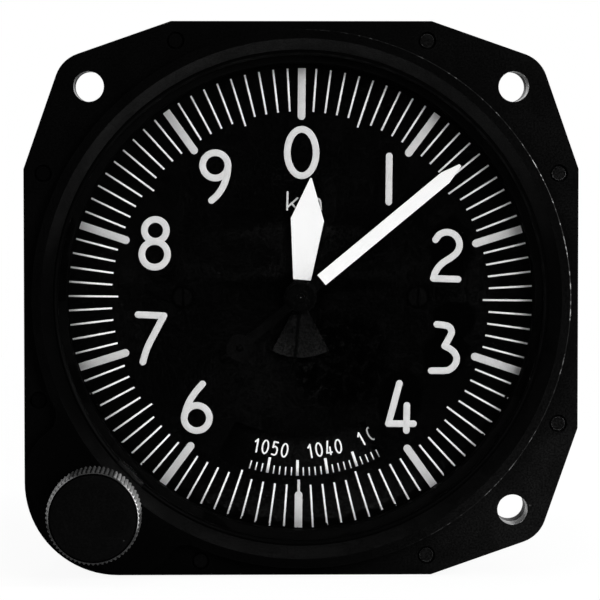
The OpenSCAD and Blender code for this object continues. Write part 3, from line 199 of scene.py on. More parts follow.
def ribbon(path, width, base, height, round_start=True, round_end=True):
    """Raised line of paint: across, five points of a low flat hill; along, the path's
    own points, with the half width at a round end following a quarter circle,
    w sin(t) at the distance w (1 - cos(t)) from the end. A path that comes back to its
    first point makes a ring."""
    p = np.asarray(path, dtype=float)
    closed = len(p) > 2 and np.allclose(p[0], p[-1])
    half = width / 2
    sunk = 0.01
    if closed:
        centre = p[:-1]
        side = np.roll(centre, -1, 0) - np.roll(centre, 1, 0)
        reach = np.full(len(centre), half)
    else:
        step = np.linalg.norm(np.diff(p, axis=0), axis=1)
        along = np.concatenate([[0], np.cumsum(step)])
        shift = half * round_start
        total = along[-1] + shift + half * round_end
        t = np.radians(np.linspace(2, 90, 8))[:-1]
        cap, rise = half * (1 - np.cos(t)), half * np.sin(t)
        head = (cap, rise) if round_start else ([0], [half])
        tail = (total - cap[::-1], rise[::-1]) if round_end else ([total], [half])
        reach = np.concatenate([head[1], np.full(len(along), half), tail[1]])
        s = np.concatenate([head[0], along + shift, tail[0]]) - shift
        centre = np.stack([np.interp(s, along, p[:, k]) for k in (0, 1)], -1)
        centre += np.minimum(s, 0)[:, None] * (p[1] - p[0]) / step[0]
        centre += np.maximum(s - along[-1], 0)[:, None] * (p[-1] - p[-2]) / step[-1]
        slope = np.gradient(p, axis=0)
        slope /= np.linalg.norm(slope, axis=1)[:, None]
        side = np.stack([np.interp(s, along, slope[:, k]) for k in (0, 1)], -1)
    side = side / np.linalg.norm(side, axis=1)[:, None]
    normal = np.stack([side[:, 1], -side[:, 0]], -1)
    across = np.array([-1, -0.86, 0, 0.86, 1])
    lift = np.array([-sunk, height, height * 1.1, height, -sunk])
    pts = centre[:, None, :] + normal[:, None, :] * (reach[:, None] * across)[..., None]
    z = np.broadcast_to(base + lift, pts.shape[:2]).copy()
    if not round_start:
        z[0] = base - sunk
    if not round_end:
        z[-1] = base - sunk
    out = to_object(pts[..., 0], pts[..., 1], z)
    rows, cols = z.shape
    if closed:
        return out.transpose(1, 0, 2), grid_faces(cols, rows, around=True)
    return out, grid_faces(rows, cols)


def turned(pts, angle, cx=0.0, cy=0.0, grow=(1.0, 1.0)):
    """Points scaled, turned anticlockwise by an angle, then moved."""
    cos, sin = heading(angle)
    x, y = pts[:, 0] * grow[0], pts[:, 1] * grow[1]
    return np.stack([cx + x * cos - y * sin, cy + x * sin + y * cos], -1)


def numeral(digit):
    """Strokes of a numeral, in millimetres about its middle, for a stroke's centre line
    6.9 mm tall: straight runs, arcs of circles and flowing curves."""
    return {
        "0": [arc(0, 0, 2.16, 90, 450, 48, 1.61)],
        "1": [straight((0.01, 3.41), (-0.07, -3.47))],
        "2": [flowing((-1.56, 2.32), (-0.95, 3.09), (0.07, 3.44), (1.12, 3.17), (1.84, 2.38),
                      (2.04, 1.36), (1.62, 0.36), (0.75, -0.39), (-0.31, -1.06),
                      (-1.14, -1.86), (-1.65, -2.72), (-1.88, -3.5)),
              straight((-1.88, -3.52), (1.80, -3.64))],
        "3": [flowing((-0.99, 3.47), (0.3, 3.31), (0.93, 3.02), (1.21, 2.46), (1.09, 1.86),
                      (0.19, 0.24)),
              flowing((0.19, 0.2), (1.0, -0.24), (1.68, -0.84), (2.0, -1.72), (1.7, -2.66),
                      (0.86, -3.38), (0.0, -3.52)),
              straight((0.1, -3.52), (-1.82, -3.52))],
        "4": [straight((-0.16, 3.55), (-1.80, -2.49)), straight((-1.80, -2.51), (1.95, -2.53)),
              straight((0.97, 0.23), (0.90, -3.55))],
        "5": [straight((1.55, 3.47), (-1.35, 3.47)), straight((-1.35, 3.47), (-1.6, 0.55)),
              flowing((-1.6, 0.55), (-0.7, 1.05), (0.2, 1.05), (1.3, 0.5), (1.85, -0.9),
                      (1.4, -2.6), (0.2, -3.4), (-1.7, -3.2))],
        "6": [arc(0.05, -1.66, 1.90, 90, 450, 40),
              flowing((0.91, 3.47), (-0.05, 2.36), (-0.90, 1.13), (-1.5, -0.2), (-1.84, -1.6))],
        "7": [straight((-1.91, 3.58), (1.94, 3.4)),
              flowing((1.94, 3.37), (0.79, 1.21), (-0.55, -1.43), (-1.22, -3.55))],
        "8": [arc(0.16, 1.86, 1.645, 90, 450, 40), arc(0.04, -1.74, 1.93, 90, 450, 40)],
        "9": [arc(0.01, 1.66, 1.90, 90, 450, 40),
              flowing((1.92, 1.58), (1.74, 0.08), (1.21, -1.43), (0.38, -2.72), (-0.55, -3.59))],
    }[digit]


# The scale's own figure one has a flag
FLAGGED = [straight((0.0, 3.4), (0.0, -3.45)), straight((0.0, 3.35), (-1.7, 1.9))]

# Strokes of the unit's three letters, in the dial's own place
UNIT = [
    straight((-1.88, 15.9), (-1.94, 13.3)), straight((-0.40, 15.0), (-1.85, 13.7)),
    straight((-1.25, 14.2), (-0.45, 13.3)), straight((0.45, 14.95), (0.45, 13.3)),
    flowing((0.45, 14.3), (0.72, 14.85), (1.12, 15.0), (1.6, 14.75), (1.75, 14.1), (1.77, 13.3)),
    flowing((1.77, 14.3), (2.02, 14.85), (2.42, 15.0), (2.92, 14.75), (3.08, 14.1), (3.1, 13.3)),
]


def dial_numerals():
    """Nine large numerals and the small unit under the nought, each stroke a line of
    paint of one width with round ends; neighbours differ a hair in height so that
    crossing strokes never lie in one plane."""
    parts = []
    for digit, middle in NUMERALS.items():
        for k, stroke in enumerate(numeral(digit)):
            parts.append(ribbon(stroke + middle, NUMERAL_WIDTH, DIAL_Z, 0.03 + 0.004 * k))
    for k, stroke in enumerate(UNIT):
        parts.append(ribbon(stroke + UNIT_SHIFT, UNIT_WIDTH, DIAL_Z, 0.02 + 0.002 * k))
    return parts


def dial_ticks(bold):
    """A hundred lines, one every 3.6 degrees, along the radius: every tenth is broad
    with a round inner end, every fifth of the rest a little longer. The lowest is
    shorter and has a narrow index on its inner end."""
    parts = []
    for i in range(100):
        if (i % 10 == 0) != bold:
            continue
        away = 90 - DIAL_TURN - 3.6 * i
        start = BAR_FROM if bold else (FIFTH_FROM if i % 5 == 0 else LINE_FROM)
        if i == 50:
            start = INDEX_BAR_FROM
        width = BAR_WIDTH if bold else LINE_WIDTH
        line = straight((start + (width / 2 if bold else 0), 0), (LINES_END, 0))
        out = [np.interp(i / 10, np.arange(11), BARS_OUT[:, k]) for k in (0, 1)]
        path = turned(line, away, PRINT_X, PRINT_Y) * (PRINT_WIDE, 1) + out
        parts.append(ribbon(path, width, DIAL_Z, 0.03, bold, False))
    if bold:
        index = turned(straight((INDEX_FROM, 0), (INDEX_END, 0)), 270 - DIAL_TURN, PRINT_X, PRINT_Y)
        parts.append(ribbon(index, INDEX_WIDTH, DIAL_Z, 0.026, False))
    return parts


def scale_label(pressure, away):
    """The figures of one pressure across the radius in a direction, upright to the
    reader at the lowest point, as lines of paint."""
    text = str(pressure)
    places = (-2.3, -1.06, 0.42, 1.9) if len(text) == 4 else (-1.45, 0.0, 1.45)
    if pressure == 1030:
        places = (-2.3, -0.7, 0.72, 2.1)
    parts = []
    for digit, x in zip(text, places):
        for stroke in FLAGGED if digit == "1" else numeral(digit):
            glyph = turned(stroke, 0, x, 0, LABEL_SIZE)
            path = turned(glyph, away + 90) + LABEL_R * heading(away)
            parts.append(ribbon(path, LABEL_WIDTH, SCALE_Z, 0.016 + 0.002 * len(parts)))
    return parts


def scale_marks():
    """Pressure scale: the angle falls from the lowest point by a step for each unit above
    the set pressure; a line for each, a longer one for every fifth, numbers for tens."""
    parts = []
    for pressure in range(LOW_PRESSURE, HIGH_PRESSURE + 1):
        away = 270 - SCALE_TURN - (pressure - SET_PRESSURE) * SCALE_STEP
        five = pressure % 5 == 0
        line = straight((FIVES_FROM if five else UNITS_FROM, 0), (MARKS_END, 0))
        parts.append(ribbon(turned(line, away), FIVES_WIDTH if five else UNITS_WIDTH, SCALE_Z,
                            0.02, False, False))
        if pressure % 10 == 0:
            parts += scale_label(pressure, away + (0.2 if pressure > 1040 else 0.8))
    return parts


def knob_skin():
    """Reeded knob with its set-screw hole. Each row has a radius R, a depth z and a reed
    depth d. Round the axis the radius is R - d (1 - |cos(32 a)|), which gives round
    reeds with sharp grooves between them. Near the set screw it drops to the screw's end."""
    front = [(0, 0, 0), (4.0, 0, 0), (KNOB_FACE_R - 0.05, 0, 0), (KNOB_FACE_R, 0.03, 0),
             (KNOB_FACE_R + 0.03, 0.2, 0), (KNOB_FACE_R + 0.2, 0.2, 0),
             (KNOB_FACE_R + 0.23, 0.06, 0.01), (KNOB_FACE_R + 0.3, 0.03, 0.03),
             (KNOB_FACE_R + 0.4, 0.12, 0.1), (KNOB_R - 0.12, 0.42, 0.2),
             (KNOB_R - 0.03, 0.7, 0.3), (KNOB_R, 0.95, RIDGE_DEPTH)]
    front = [(radius, KNOB_TOP - below, reed) for radius, below, reed in front]
    side = [(KNOB_R, z, RIDGE_DEPTH) for z in np.arange(KNOB_TOP - 1.1, KNOB_BACK + 0.7, -0.16)]
    back = [(KNOB_R, KNOB_BACK + 0.6, RIDGE_DEPTH), (KNOB_R - 0.08, KNOB_BACK + 0.3, 0.25),
            (KNOB_R - 0.35, KNOB_BACK + 0.03, 0), (KNOB_R - 0.5, KNOB_BACK, 0),
            (KNOB_BORE_R, KNOB_BACK, 0), (KNOB_BORE_R, KNOB_TOP - KNOB_BORE_END, 0),
            (0, KNOB_TOP - KNOB_BORE_END, 0)]
    rows = np.array(front + side + back, dtype=float)
    columns = RIDGES * RIDGE_STEPS
    a = np.linspace(0, 2 * np.pi, columns, endpoint=False)
    radius = rows[:, :1] - rows[:, 2:] * (1 - np.abs(np.cos(RIDGES / 2 * a)))
    z = np.repeat(rows[:, 1:2], columns, 1)
    off = (a - math.radians(SET_SCREW_DIR) + np.pi) % (2 * np.pi) - np.pi
    reach = np.hypot(KNOB_R * off[None, :], z - SET_SCREW_Z)
    share = np.clip((reach - SET_SCREW_R) / 0.14 + 0.5, 0, 1)
    drilled = SET_SCREW_OUT + (radius - SET_SCREW_OUT) * share
    radius = np.where(rows[:, :1] > KNOB_R - 0.01, drilled, radius)
    points = to_object(KNOB_X + radius * np.cos(a), KNOB_Y + radius * np.sin(a), z)
    return [(points, grid_faces(len(rows), columns, around=True))]


def rivet_head():
    """Low dome in the long pointer's counterweight: the height falls as 1 - (r / R)^2
    from the middle to the rim, and the underside is flat."""
    cx, cy = LONG_TAIL_R * heading(270 - LONG_TURN)
    r = np.append(np.linspace(0, RIVET_R, 9), (RIVET_R, 0))[:, None]
    z = LONG_Z + RIVET_RISE * (1 - (r / RIVET_R) ** 2)
    z[-2:] = LONG_Z - 0.02
    a = np.linspace(0, 2 * np.pi, 32, endpoint=False)
    points = to_object(cx + r * np.cos(a), cy + r * np.sin(a), np.repeat(z, len(a), 1))
    return [(points, grid_faces(len(r), len(a), around=True))]


def clear_of_bars(degrees):
    """Share by direction that is one between the bold bars and falls to a sixth at each,
    over 0.8 degrees beside it."""
    off = np.abs((degrees - 90 + DIAL_TURN + 18) % 36 - 18)
    return np.clip((off - 1.1) / 0.8, 0.16, 1)


def compound_bead():
    """Ragged bead of old sealing compound in the corner between the dial and the wall
    round it. Along the arc its width and height are a level plus a sum of sines with
    unrelated periods; across, it is a quarter of an ellipse from the wall to the dial.
    It is thin where a bold bar ends."""
    a = np.radians(np.linspace(196, 344, 620))
    swing = (0.5 * np.sin(31 * a + 1.0) + 0.35 * np.sin(53 * a + 2.3) + 0.3 * np.sin(97 * a)
             + 0.25 * np.sin(171 * a + 0.7))
    fade = np.clip(np.minimum(a - a[0], a[-1] - a) / 0.25, 0, 1) * clear_of_bars(np.degrees(a))
    width = (0.24 + 0.17 * np.clip(swing, -1, 1)) * fade + 0.03
    height = (0.34 + 0.22 * np.clip(np.roll(swing, 9), -1, 1)) * fade + 0.02
    t = np.linspace(0, np.pi / 2, 7)[:, None]
    radius = WALL_R - width * np.sin(t) ** 0.8
    z = DIAL_Z - 0.01 + height * np.cos(t)
    return [(to_object(radius * np.cos(a), radius * np.sin(a), z), grid_faces(len(t), len(a)))]


def compound_crumbs():
    """Crumbs broken off the bead: squashed half balls whose outline is a circle times
    1 + 0.28 sin(2 a + p) + 0.16 sin(5 a + q), scattered by a seeded draw."""
    draw = np.random.RandomState(11)
    around = np.linspace(0, 2 * np.pi, 14, endpoint=False)
    rise = np.linspace(0, np.pi / 2, 5)[:, None]
    parts = []
    for _ in range(150):
        away = math.radians(draw.uniform(200, 338))
        size = draw.uniform(0.12, 0.44) ** 1.3 * clear_of_bars(math.degrees(away)) ** 0.7
        middle = WALL_R - 0.08 - abs(draw.normal(0, 0.14)) - size * 0.45
        outline = (1 + 0.28 * np.sin(2 * around + draw.uniform(0, 6.3))
                   + 0.16 * np.sin(5 * around + draw.uniform(0, 6.3)))
        r = size * outline * np.cos(rise)
        x = middle * math.cos(away) + r * np.cos(around)
        y = middle * math.sin(away) + r * np.sin(around)
        z = DIAL_Z - 0.01 + 0.55 * size * np.sin(rise) + 0 * x
        parts.append((to_object(x, y, z), grid_faces(*z.shape, around=True)))
    return parts


# Node trees

def node(tree, kind, feeds=None, **settings):
    """One node; each feed is a value for a socket or another node's output to join to it."""
    made = tree.nodes.new(kind if kind.startswith("Node") else "ShaderNode" + kind)
    for key, value in settings.items():
        setattr(made, key, value)
    for key, value in (feeds or {}).items():
        if isinstance(value, bpy.types.NodeSocket):
            tree.links.new(value, made.inputs[key])
        else:
            made.inputs[key].default_value = value
    return made


def tree_of(*values):
    """Node tree of the first of some values that is a socket."""
    return next(value for value in values if isinstance(value, bpy.types.NodeSocket)).id_data


def calc(operation, *values, clamp=False):
    """One sum on numbers, in the tree that they come from."""
    feeds = dict(enumerate(values))
    return node(tree_of(*values), "Math", feeds, operation=operation, use_clamp=clamp).outputs[0]


def times(*values):
    """Product of two or more numbers."""
    made = values[0]
    for value in values[1:]:
        made = calc("MULTIPLY", made, value)
    return made


def vector(operation, *values):
    """One sum on vectors; a length or a dot product gives a number."""
    made = node(tree_of(*values), "VectorMath", dict(enumerate(values)), operation=operation)
    return made.outputs["Value" if operation in ("LENGTH", "DOT_PRODUCT") else 0]


def axes_of(place):
    """The three coordinates of a place."""
    return node(tree_of(place), "SeparateXYZ", {0: place}).outputs


def flattened(place):
    """A place without its depth."""
    return vector("MULTIPLY", place, (1, 0, 1))


def from_axis(place):
    """Distance from the depth axis, the place's own Y."""
    return vector("LENGTH", flattened(place))


def noise(place, scale, detail, **feeds):
    """Level of a noise at a place."""
    feeds = {"Vector": place, "Scale": scale, "Detail": detail, **feeds}
    return node(tree_of(place), "TexNoise", feeds).outputs[0]


def span(value, low, high, out_low=0.0, out_high=1.0):
    """Smooth step of a value between low and high, onto out_low to out_high."""
    feeds = {"Value": value, "From Min": low, "From Max": high, "To Min": out_low,
             "To Max": out_high}
    return node(tree_of(value), "MapRange", feeds, interpolation_type="SMOOTHSTEP").outputs[0]


def mix_value(share, first, second):
    """Number between two numbers."""
    feeds = {0: share, 2: first, 3: second}
    return node(tree_of(share), "Mix", feeds, data_type="FLOAT").outputs[0]


def mixed(share, first, second):
    """Colour between two colours, each a grey level, a tuple or another node's output."""
    feeds = {0: share}
    for key, value in ((6, first), (7, second)):
        if isinstance(value, (int, float)):
            value = (value, value, value)
        feeds[key] = (*value, 1) if isinstance(value, tuple) else value
    return node(tree_of(share), "Mix", feeds, data_type="RGBA").outputs[2]


def grey_of(value):
    """Grey colour of a worked-out level."""
    return node(tree_of(value), "CombineXYZ", {0: value, 1: value, 2: value}).outputs[0]


def arrange(tree):
    """Nodes in columns by how many links lie between each and the end of the tree."""
    depth = {n: 0 for n in tree.nodes}
    for _ in range(len(tree.nodes)):
        moved = False
        for link in tree.links:
            if depth[link.from_node] < depth[link.to_node] + 1:
                depth[link.from_node] = depth[link.to_node] + 1
                moved = True
        if not moved:
            break
    filled = {}
    for n in tree.nodes:
        row = filled.get(depth[n], 0)
        n.location = (-230 * depth[n], -190 * row)
        filled[depth[n]] = row + 1


# Effects, each a node group that takes the place and its own values

def effect(name, work, gives, **takes):
    """Node group with named sockets. The work gets the tree and the inputs, and returns
    one result for each name that the group gives."""
    tree = bpy.data.node_groups.new(name, "ShaderNodeTree")
    for key, value in {"Place": (0, 0, 0), **takes}.items():
        kind = "NodeSocketVector" if isinstance(value, tuple) else "NodeSocketFloat"
        socket = tree.interface.new_socket(key.replace("_", " "), in_out="INPUT", socket_type=kind)
        socket.default_value = value
    for label in gives:
        tree.interface.new_socket(label, in_out="OUTPUT", socket_type="NodeSocketFloat")
    results = work(tree, node(tree, "NodeGroupInput").outputs)
    node(tree, "NodeGroupOutput", dict(zip(gives, results)))
    arrange(tree)
    return tree


def grain_work(tree, given):
    """Fine grain of a cast, stoved or moulded face, with a slow mottle in its tone."""
    fine = calc("DIVIDE", 1.0, given["Grain Size"])
    slow = calc("DIVIDE", 1.0, given["Mottle Size"])
    height = noise(given["Place"], fine, 4.0)
    mottle = noise(given["Place"], slow, 5.0, Roughness=0.62, Distortion=0.6)
    return height, span(mottle, 0.3, 0.7)


def edge_wear_work(tree, given):
    """Where a face turns a corner within the reach, broken up by noise: the normal that
    a rounded corner would have is set against the true one."""
    rounded = node(tree, "Bevel", {"Radius": times(given["Reach"], MM)}, samples=4)
    true = node(tree, "NewGeometry").outputs["Normal"]
    bend = calc("SUBTRACT", 1.0, vector("DOT_PRODUCT", rounded.outputs[0], true))
    patch = noise(given["Place"], 0.9, 6.0, Roughness=0.7)
    worn = times(span(bend, 0.02, 0.16), span(patch, 0.38, 0.62))
    return [calc("MULTIPLY", worn, given["Amount"], clamp=True)]


def dust_work(tree, given):
    """Specks: a share of scattered points, each with a small round of its own size."""
    scale = calc("DIVIDE", 1.0, given["Spacing"])
    cells = node(tree, "TexVoronoi", {"Vector": given["Place"], "Scale": scale}).outputs
    draw = node(tree, "SeparateColor", {0: cells["Color"]}).outputs
    size = times(given["Speck"], draw[1], scale)
    near = calc("LESS_THAN", cells["Distance"], size)
    return [times(near, calc("LESS_THAN", draw[0], given["Share"]))]


def turning_work(tree, given):
    """Marks left by a lathe tool: noise that changes only with the distance from the
    axis, which lies along the place's own Y."""
    radius = from_axis(given["Place"])
    steps = calc("DIVIDE", radius, given["Pitch"])
    marks = node(tree, "TexNoise", {"W": steps, "Scale": 1.0, "Detail": 2.0}, noise_dimensions="1D")
    slow = node(tree, "TexNoise", {"W": radius, "Scale": 1.3, "Detail": 3.0}, noise_dimensions="1D")
    return marks.outputs[0], span(slow.outputs[0], 0.3, 0.7)


def spot_work(tree, given):
    """Soft round or oval: one inside, falling to nothing across the edge."""
    off = flattened(vector("SUBTRACT", given["Place"], given["Middle"]))
    reach = vector("LENGTH", vector("DIVIDE", off, given["Half Size"]))
    inner = calc("SUBTRACT", 1.0, given["Edge"])
    outer = calc("ADD", 1.0, given["Edge"])
    return [span(reach, inner, outer, 1.0, 0.0)]


def band_work(tree, given):
    """Ring about the place's own Y axis: one at the radius, nothing at the width beside it."""
    off = calc("SUBTRACT", from_axis(given["Place"]), given["Radius"])
    off = calc("DIVIDE", calc("ABSOLUTE", off), given["Width"])
    return [span(off, 0.4, 1.0, 1.0, 0.0)]


GRAIN = effect("grain", grain_work, ("Height", "Mottle"), Grain_Size=0.15, Mottle_Size=5.0)
EDGE_WEAR = effect("edge_wear", edge_wear_work, ("Worn",), Reach=0.15, Amount=0.5)
DUST = effect("dust", dust_work, ("Specks",), Spacing=1.6, Share=0.3, Speck=0.09)
TURNING = effect("turning", turning_work, ("Height", "Sheen"), Pitch=0.12)
SPOT = effect("spot", spot_work, ("Spot",), Middle=(0, 0, 0), Half_Size=(1, 1, 1), Edge=0.3)
BAND = effect("band", band_work, ("Band",), Radius=1.0, Width=0.1)


def use(group, place, **feeds):
    """An effect placed in a material: its outputs by name."""
    named = {key.replace("_", " "): value for key, value in feeds.items()}
    return node(tree_of(place), "Group", {"Place": place, **named}, node_tree=group).outputs


def spot(place, half, edge, middle=(0, 0)):
    """Soft oval, by its half sizes and its middle, each as right and up."""
    return use(SPOT, place, Middle=(middle[0], 0, middle[1]), Half_Size=(half[0], 1, half[1]),
               Edge=edge)["Spot"]


def band(place, radius, width):
    """Ring about the depth axis."""
    return use(BAND, place, Radius=radius, Width=width)["Band"]


def wear(place, reach, amount):
    """Worn corners."""
    return use(EDGE_WEAR, place, Reach=reach, Amount=amount)["Worn"]


def dusty(place, colour, spacing, share, speck, strength, level):
    """Colour under specks of one grey level that let some of it through."""
    specks = use(DUST, place, Spacing=spacing, Share=share, Speck=speck)["Specks"]
    return mixed(times(specks, strength), colour, level)


def speckled(place, tone, least=0.2, most=1.9):
    """Tone broken up from grain to grain of the paint, about a quarter of a millimetre apart."""
    grains = noise(place, 3.7, 1.5)
    return times(tone, span(grains, 0.3, 0.7, least, most))


def toward(place, degrees, low, high, least=0.0, most=1.0):
    """Share by direction round the axis: the cosine of the angle from a direction,
    between two cosines."""
    right, up = heading(degrees)
    unit = vector("NORMALIZE", flattened(place))
    cosine = vector("DOT_PRODUCT", unit, (right, 0, up))
    return span(cosine, low, high, least, most)


# Finishes

def finish_start(name, rough, metal=0.0, gloss=0.5):
    """New material with its Principled surface."""
    mat = bpy.data.materials.new(name)
    mat.use_nodes = True
    tree = mat.node_tree
    tree.nodes.clear()
    surface = node(tree, "BsdfPrincipled", {"Roughness": rough, "Metallic": metal,
                                            "Specular IOR Level": gloss})
    node(tree, "OutputMaterial", {"Surface": surface.outputs[0]})
    return mat


def place_mm(mat, centre=(0, 0, 0), turn=0.0):
    """Object coordinates in millimetres, about a centre or turned about the depth axis."""
    own = node(mat.node_tree, "TexCoord").outputs["Object"]
    feeds = {"Vector": own, "Location": tuple(-c for c in centre),
             "Rotation": (0, math.radians(turn), 0), "Scale": (1 / MM, 1 / MM, 1 / MM)}
    return node(mat.node_tree, "Mapping", feeds).outputs[0]


def grained(name, rough, gloss, grain_size, mottle_size, centre=(0, 0, 0)):
    """New material with its place in millimetres and its grain's height and mottle."""
    mat = finish_start(name, rough, gloss=gloss)
    place = place_mm(mat, centre)
    grain = use(GRAIN, place, Grain_Size=grain_size, Mottle_Size=mottle_size)
    return mat, place, grain["Height"], grain["Mottle"]


def dress(mat, colour=None, rough=None, height=None, depth=0.01, metal=None):
    """Joins colour, roughness, a bump of a depth in millimetres and metallic, where given,
    and returns the finished material."""
    tree = mat.node_tree
    surface = tree.nodes["Principled BSDF"].inputs
    for key, value in (("Base Color", colour), ("Roughness", rough), ("Metallic", metal)):
        if value is not None:
            tree.links.new(value, surface[key])
    if height is not None:
        bump = node(tree, "Bump", {"Height": height, "Distance": depth * MM, "Strength": 1.0})
        tree.links.new(bump.outputs[0], surface["Normal"])
    arrange(tree)
    return mat


def end_with(mat, share, first, second):
    """Puts a mix of two shaders at the end of a material, and returns it."""
    tree = mat.node_tree
    both = node(tree, "MixShader", {0: share, 1: first, 2: second})
    tree.links.new(both.outputs[0], tree.nodes["Material Output"].inputs[0])
    arrange(tree)
    return mat


def frame_paint():
    """Stoved black on the front frame: fine grain, specks of dust, painted light and shade across
    the flange, the ring and the bevel, the ring's outer edge rubbed to a thin line of metal that
    painted highlight keeps mostly to the right, and bare mounting holes."""
    mat, place, height, mottle = grained("frame_paint", 0.55, 0.012, 0.13, 7.0)
    across, depth, up = axes_of(place)
    # Flange and ring: painted light and shade, blackest at the left and below and greyest at the
    # lower right, where the lamps fall; the raised ring and lobe a little darker
    tone = span(across, 0.0, 60.0, 0.0007, 0.0023)
    lower_right_light = spot(place, (16, 16), 0.8, (38, -33))
    tone = calc("ADD", tone, times(lower_right_light, 0.0019))
    # Painted shadow beside the knob's lobe
    for half, edge, middle, share in (((19, 9), 0.5, (-14, -42), 0.25),
                                      ((9, 8), 0.6, (-33, -24), 0.4)):
        tone = times(tone, span(spot(place, half, edge, middle), 0, 1, 1, share))
    raised = span(depth, -1.9, -2.1)
    tone = times(tone, mix_value(raised, 1.0, 0.85))
    # Bevel: a greyer band, brightened above and below as painted light
    radius = from_axis(place)
    bevel = times(span(radius, BEVEL_FROM, BEVEL_FROM + 0.2),
                  span(radius, BEVEL_TO, BEVEL_TO + 0.15, 1.0, 0.0))
    bevel_light = calc("MAXIMUM", toward(place, 90, -0.05, 1.15, 0.0, 4.5),
                 toward(place, 258, 0.5, 1.0, 0.0, 1.25))
    bevel = times(bevel, bevel_light, span(depth, 1.3, 1.5, 1.0, 0.0))
    tone = calc("ADD", tone, times(bevel, 0.0026))
    # Dull black below the glass seat
    tone = mix_value(span(depth, 1.9, 2.4), tone, 0.0008)
    tone = times(tone, span(mottle, 0.0, 1.0, 0.8, 1.2))
    colour = grey_of(speckled(place, tone, 0.45, 1.55))
    # Ring's edge: a thin line of worn metal, with painted highlight that keeps nearly all of it at
    # the right
    patches = noise(place, 0.8, 5.0)
    highlight_side = calc("ADD", toward(place, 14, 0.91, 0.985, 0.0, 0.55),
                    toward(place, 10, 0.1, 0.9, 0.0, 0.18))
    line = times(band(place, RING_R, 0.15), raised, highlight_side,
                 span(patches, 0.36, 0.6, 0.5, 1.3))
    # Bare walls of the mounting holes
    off = [calc("SUBTRACT", calc("ABSOLUTE", axis), HOLE_OUT) for axis in (across, up)]
    from_hole = calc("SQRT", calc("ADD", *(times(d, d) for d in off)))
    bore = calc("LESS_THAN", from_hole, HOLE_R + 0.03)
    bare = calc("MAXIMUM", line, bore)
    colour = mixed(wear(place, 0.12, 0.3), colour, 0.01)
    colour = dusty(place, colour, 2.4, 0.3, 0.13, 0.5, 0.05)
    grime = span(noise(place, 1.1, 4.0), 0.5, 0.65)
    colour = mixed(bare, colour, mixed(grime, 0.05, 0.6))
    rough = mix_value(bare, span(height, 0.3, 0.7, 0.5, 0.64), 0.3)
    return dress(mat, colour, rough, height, 0.012, bore)


def satin_black(name, level, rough, grain_size, mottle_size, bare, reach, amount, depth=0.015,
                gloss=0.02, left=1.0):
    """Black over cast or turned metal: grain, mottle, dust and corners worn to the metal, whose
    grey is bare. Left is the share of the tone that remains at the far left of the object, a
    painted shade that darkens it towards the left; no corner is worn there either, so the worn
    metal, partly painted highlight, shows towards the right."""
    mat, place, height, mottle = grained(name, rough, gloss, grain_size, mottle_size)
    worn = wear(place, reach, amount)
    tone = span(mottle, 0.0, 1.0, level * 0.7, level * 1.3)
    # Painted shade towards the left, and worn corners kept to the right as partly painted highlight
    if left < 1:
        across = axes_of(place)[0]
        tone = times(tone, span(across, -30.0, 45.0, left, 1.0))
        worn = times(worn, span(across, 0.0, 35.0))
    colour = grey_of(speckled(place, tone))
    colour = dusty(place, colour, 3.1, 0.22, 0.16, 0.4, 0.1)
    colour = mixed(worn, colour, bare)
    paint = span(height, 0.3, 0.7, rough - 0.05, rough + 0.1)
    return dress(mat, colour, mix_value(worn, paint, 0.38), height, depth, times(worn, 0.9))


def rubber(name, level, grain_size, gloss=0.02):
    """Rubber: matt, faintly mottled, with a dry bloom and a fine moulded grain."""
    mat, _, height, mottle = grained(name, 0.8, gloss, grain_size, 2.5)
    colour = mixed(mottle, level * 0.7, level * 1.6)
    rough = span(mottle, 0, 1, 0.68, 0.9)
    return dress(mat, colour, rough, height, 0.02)


def bare_metal(name, colour, dull, rough, centre=(0, 0, 0), pitch=0.16, depth=0.004, black=None):
    """Turned or filed metal: tool marks round an axis, tarnish in slow patches and a lighter line
    where corners are rubbed. Black, where given, is (radius, depth, dot): near black within the
    radius and in front of the depth, but for a bright dot."""
    mat = finish_start(name, rough, 1.0, gloss=0.02 if black else 0.5)
    place = place_mm(mat, centre)
    marks = use(TURNING, place, Pitch=pitch)
    grain = use(GRAIN, place, Grain_Size=0.4, Mottle_Size=3.0)
    tarnish = times(grain["Mottle"], 0.35)
    rubbed = tuple(min(1.0, c * 1.25 + 0.05) for c in colour)
    base = mixed(wear(place, 0.08, 0.6), mixed(tarnish, colour, dull), rubbed)
    level = calc("ADD", times(marks["Sheen"], 0.1), rough - 0.05)
    level = calc("ADD", level, times(tarnish, 0.25))
    metal = None
    if black:
        reach, front, dot = black
        dark = times(spot(place, (reach, reach), 0.03),
                     calc("LESS_THAN", axes_of(place)[1], front))
        if dot:
            dark = times(dark, calc("SUBTRACT", 1.0, spot(place, (dot, dot), 0.3)))
        base = mixed(dark, base, 0.0012)
        metal = calc("SUBTRACT", 1.0, dark)
    return dress(mat, base, level, marks["Height"], depth, metal)


def cover_glass():
    """Clear glass with a trace of grease, ground dull and blacked at the rim, outside the
    opening. Light that isn't on its way to the camera passes as through air, so that
    the dial is lit as it would be behind thin glass."""
    mat = finish_start("cover_glass", 0.02)
    tree = mat.node_tree
    surface = tree.nodes["Principled BSDF"]
    surface.inputs["Transmission Weight"].default_value = 1.0
    surface.inputs["IOR"].default_value = 1.5
    place = place_mm(mat)
    grease = noise(place, 0.12, 6.0, Distortion=1.2)
    inside = span(from_axis(place), OPENING_R, OPENING_R + 0.1, 1.0, 0.0)
    rough = mix_value(inside, 0.2, span(grease, 0.4, 0.75, 0.01, 0.035))
    dress(mat, grey_of(inside), rough)
    clear = node(tree, "BsdfTransparent")
    seen = node(tree, "LightPath").outputs["Is Camera Ray"]
    return end_with(mat, seen, clear.outputs[0], surface.outputs[0])


